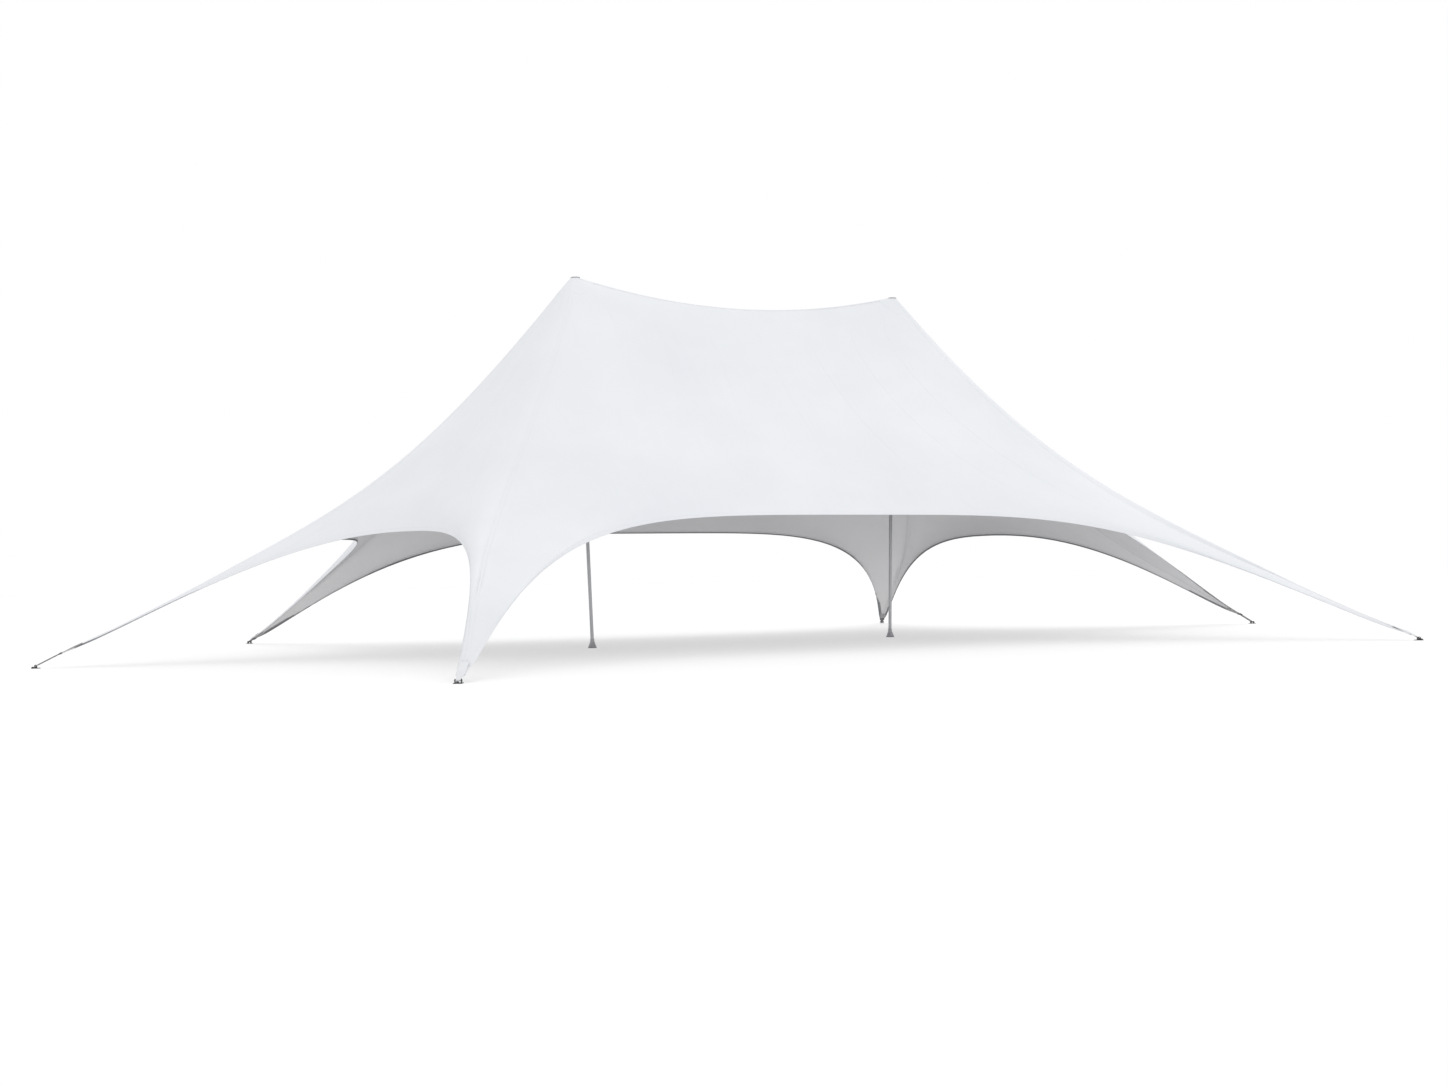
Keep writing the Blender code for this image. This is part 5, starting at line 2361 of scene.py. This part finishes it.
    def build_corner(self) -> Object:
        """The corner plate: two cheeks bolted through the cloth, and the bar for the strap.

        Returns:
            The piece's object.
        """
        shape = Shape("corner_plate_steel_" + self.anchor.value)
        steel, zinc, turn = self.palette.coated_steel, self.palette.zinc, self.corner_place
        gap, arm = self.jaw_gap, self.arm_width
        size = self.corner_length + self.jaw_overlap - 0.026
        for side in (-1, 1):
            spot = Vector((self.jaw_overlap - size / 2, 0.0,
                           side * (gap + self.cheek / 2) - self.cheek / 2))
            shape.plate(rounded_rectangle(size, self.corner_width, 0.006), self.cheek,
                        turn @ Matrix.Translation(spot), steel, edge=0.0009)
            for aside in self.jaw_bolts:
                seat = turn @ Vector((0.007, aside, side * (gap + self.cheek)))
                shape.bolt(spin_matrix(seat, turn.to_3x3() @ UP * side), 0.010, 0.005, zinc)
        for side in (-1, 1):
            spot = Vector(((0.001 - self.corner_length) / 2, side * (self.corner_width - arm) / 2,
                           0.0))
            shape.block((self.corner_length - 0.001, arm, 2 * gap),
                        turn @ Matrix.Translation(spot), steel, 0.0012)
        reach = self.corner_width / 2 - 0.004
        shape.turned(((0, -reach), (self.bar_radius, -reach), (self.bar_radius, reach),
                      (0, reach)), spin_matrix(self.bar, self.across), zinc, 24)
        spacer = Vector(((self.jaw_overlap - self.corner_length) / 2 + 0.014, 0.0, 0.0))
        shape.block((0.018, self.corner_width - 0.022, 2 * gap - self.play),
                    turn @ Matrix.Translation(spacer), steel, 0.001)
        return shape.make()


# --- Studio and camera -----------------------------------------------------------------------


@dataclass
class Studio:
    """A pale floor and soft, even light."""

    floor_radius: float = 400.0
    floor_sides: int = 96
    floor_drop: float = 0.001
    lamp_height: float = 12.0
    sky: float = 1.0
    softness: float = math.radians(70.0)
    # Strength of each soft light and where it comes from
    lights: tuple[tuple[str, float, tuple[float, float, float]], ...] = (
        ("soft_front", 0.3, (0.2, -1.5, 0.8)), ("soft_back", 0.3, (0.7, 0.7, 1.2)))

    def build(self) -> None:
        """Lay the floor and set the lights."""
        scene = bpy.context.scene
        mesh = bpy.data.meshes.new("studio_floor")
        count = self.floor_sides
        rim = [polar(self.floor_radius, 2 * math.pi * step / count, -self.floor_drop)
               for step in range(count)]
        mesh.from_pydata(rim, [], [list(range(count))])
        mesh.materials.append(StudioFloor("studio_floor_matt", "#BEBEBE", 0.9).build())
        place_piece("studio_floor", mesh)
        world = bpy.data.worlds.new("studio_sky")
        world.use_nodes = True
        tree = world.node_tree
        tree.nodes.clear()
        sky = add_node(tree, "ShaderNodeBackground",
                       inputs={"Color": srgb("#FFFFFF"), "Strength": self.sky})
        add_node(tree, "ShaderNodeOutputWorld", inputs={"Surface": sky.outputs["Background"]})
        scene.world = world
        for name, energy, direction in self.lights:
            light = bpy.data.lights.new(name, "SUN")
            light.energy = energy
            light.angle = self.softness
            lamp = bpy.data.objects.new(name, light)
            lamp.matrix_world = spin_matrix(UP * self.lamp_height, Vector(direction))
            scene.collection.objects.link(lamp)
        scene.view_settings.view_transform = "Standard"
        scene.view_settings.look = "None"


@dataclass(frozen=True)
class Viewpoint:
    """Where the camera stands and how it is turned, a little under a metre above the ground."""

    location: tuple[float, float, float] = (-10.641, -22.407, 0.962)
    yaw: float = math.radians(24.624)
    pitch: float = math.radians(1.341)
    roll: float = math.radians(-1.088)
    lens: float = 39.756
    sensor: float = 36.0
    farthest: float = 2000.0

    def build(self) -> None:
        """Set the scene's camera."""
        forward = Vector((math.sin(self.yaw) * math.cos(self.pitch),
                          math.cos(self.yaw) * math.cos(self.pitch), math.sin(self.pitch)))
        right = Vector((math.cos(self.yaw), -math.sin(self.yaw), 0.0))
        upward = right.cross(forward)
        x_axis = right * math.cos(self.roll) + upward * math.sin(self.roll)
        y_axis = upward * math.cos(self.roll) - right * math.sin(self.roll)
        rotation = Matrix((x_axis, y_axis, -forward)).transposed().to_4x4()
        lens = bpy.data.cameras.new("viewpoint")
        lens.lens = self.lens
        lens.sensor_width = self.sensor
        lens.sensor_fit = "HORIZONTAL"
        lens.clip_end = self.farthest
        camera = bpy.data.objects.new("viewpoint", lens)
        bpy.context.scene.collection.objects.link(camera)
        camera.matrix_world = Matrix.Translation(self.location) @ rotation
        bpy.context.scene.camera = camera


def main() -> None:
    """Build the tent's looks around the frame and set the studio."""
    logging.basicConfig(level=logging.INFO, format="%(name)s: %(message)s")
    layout = TentLayout()
    palette = Palette()
    canopy = Canopy(layout)
    canopy.build(palette)
    canopy.dress()
    for side in Side:
        mast = Mast(side, layout, palette)
        mast.build()
        mast.dress()
    for anchor in Anchor:
        leg = canopy.form.leg_line(anchor)
        step = Vector(leg[-1 - canopy.form.net.fineness]) - layout.tip(anchor)
        rise = math.atan2(step.z, step.dot(layout.inward(anchor)))
        ground = GroundAnchor(anchor, layout, palette, rise)
        ground.build()
        ground.dress()
    Studio().build()
    Viewpoint().build()


if __name__ == "__main__":
    main()
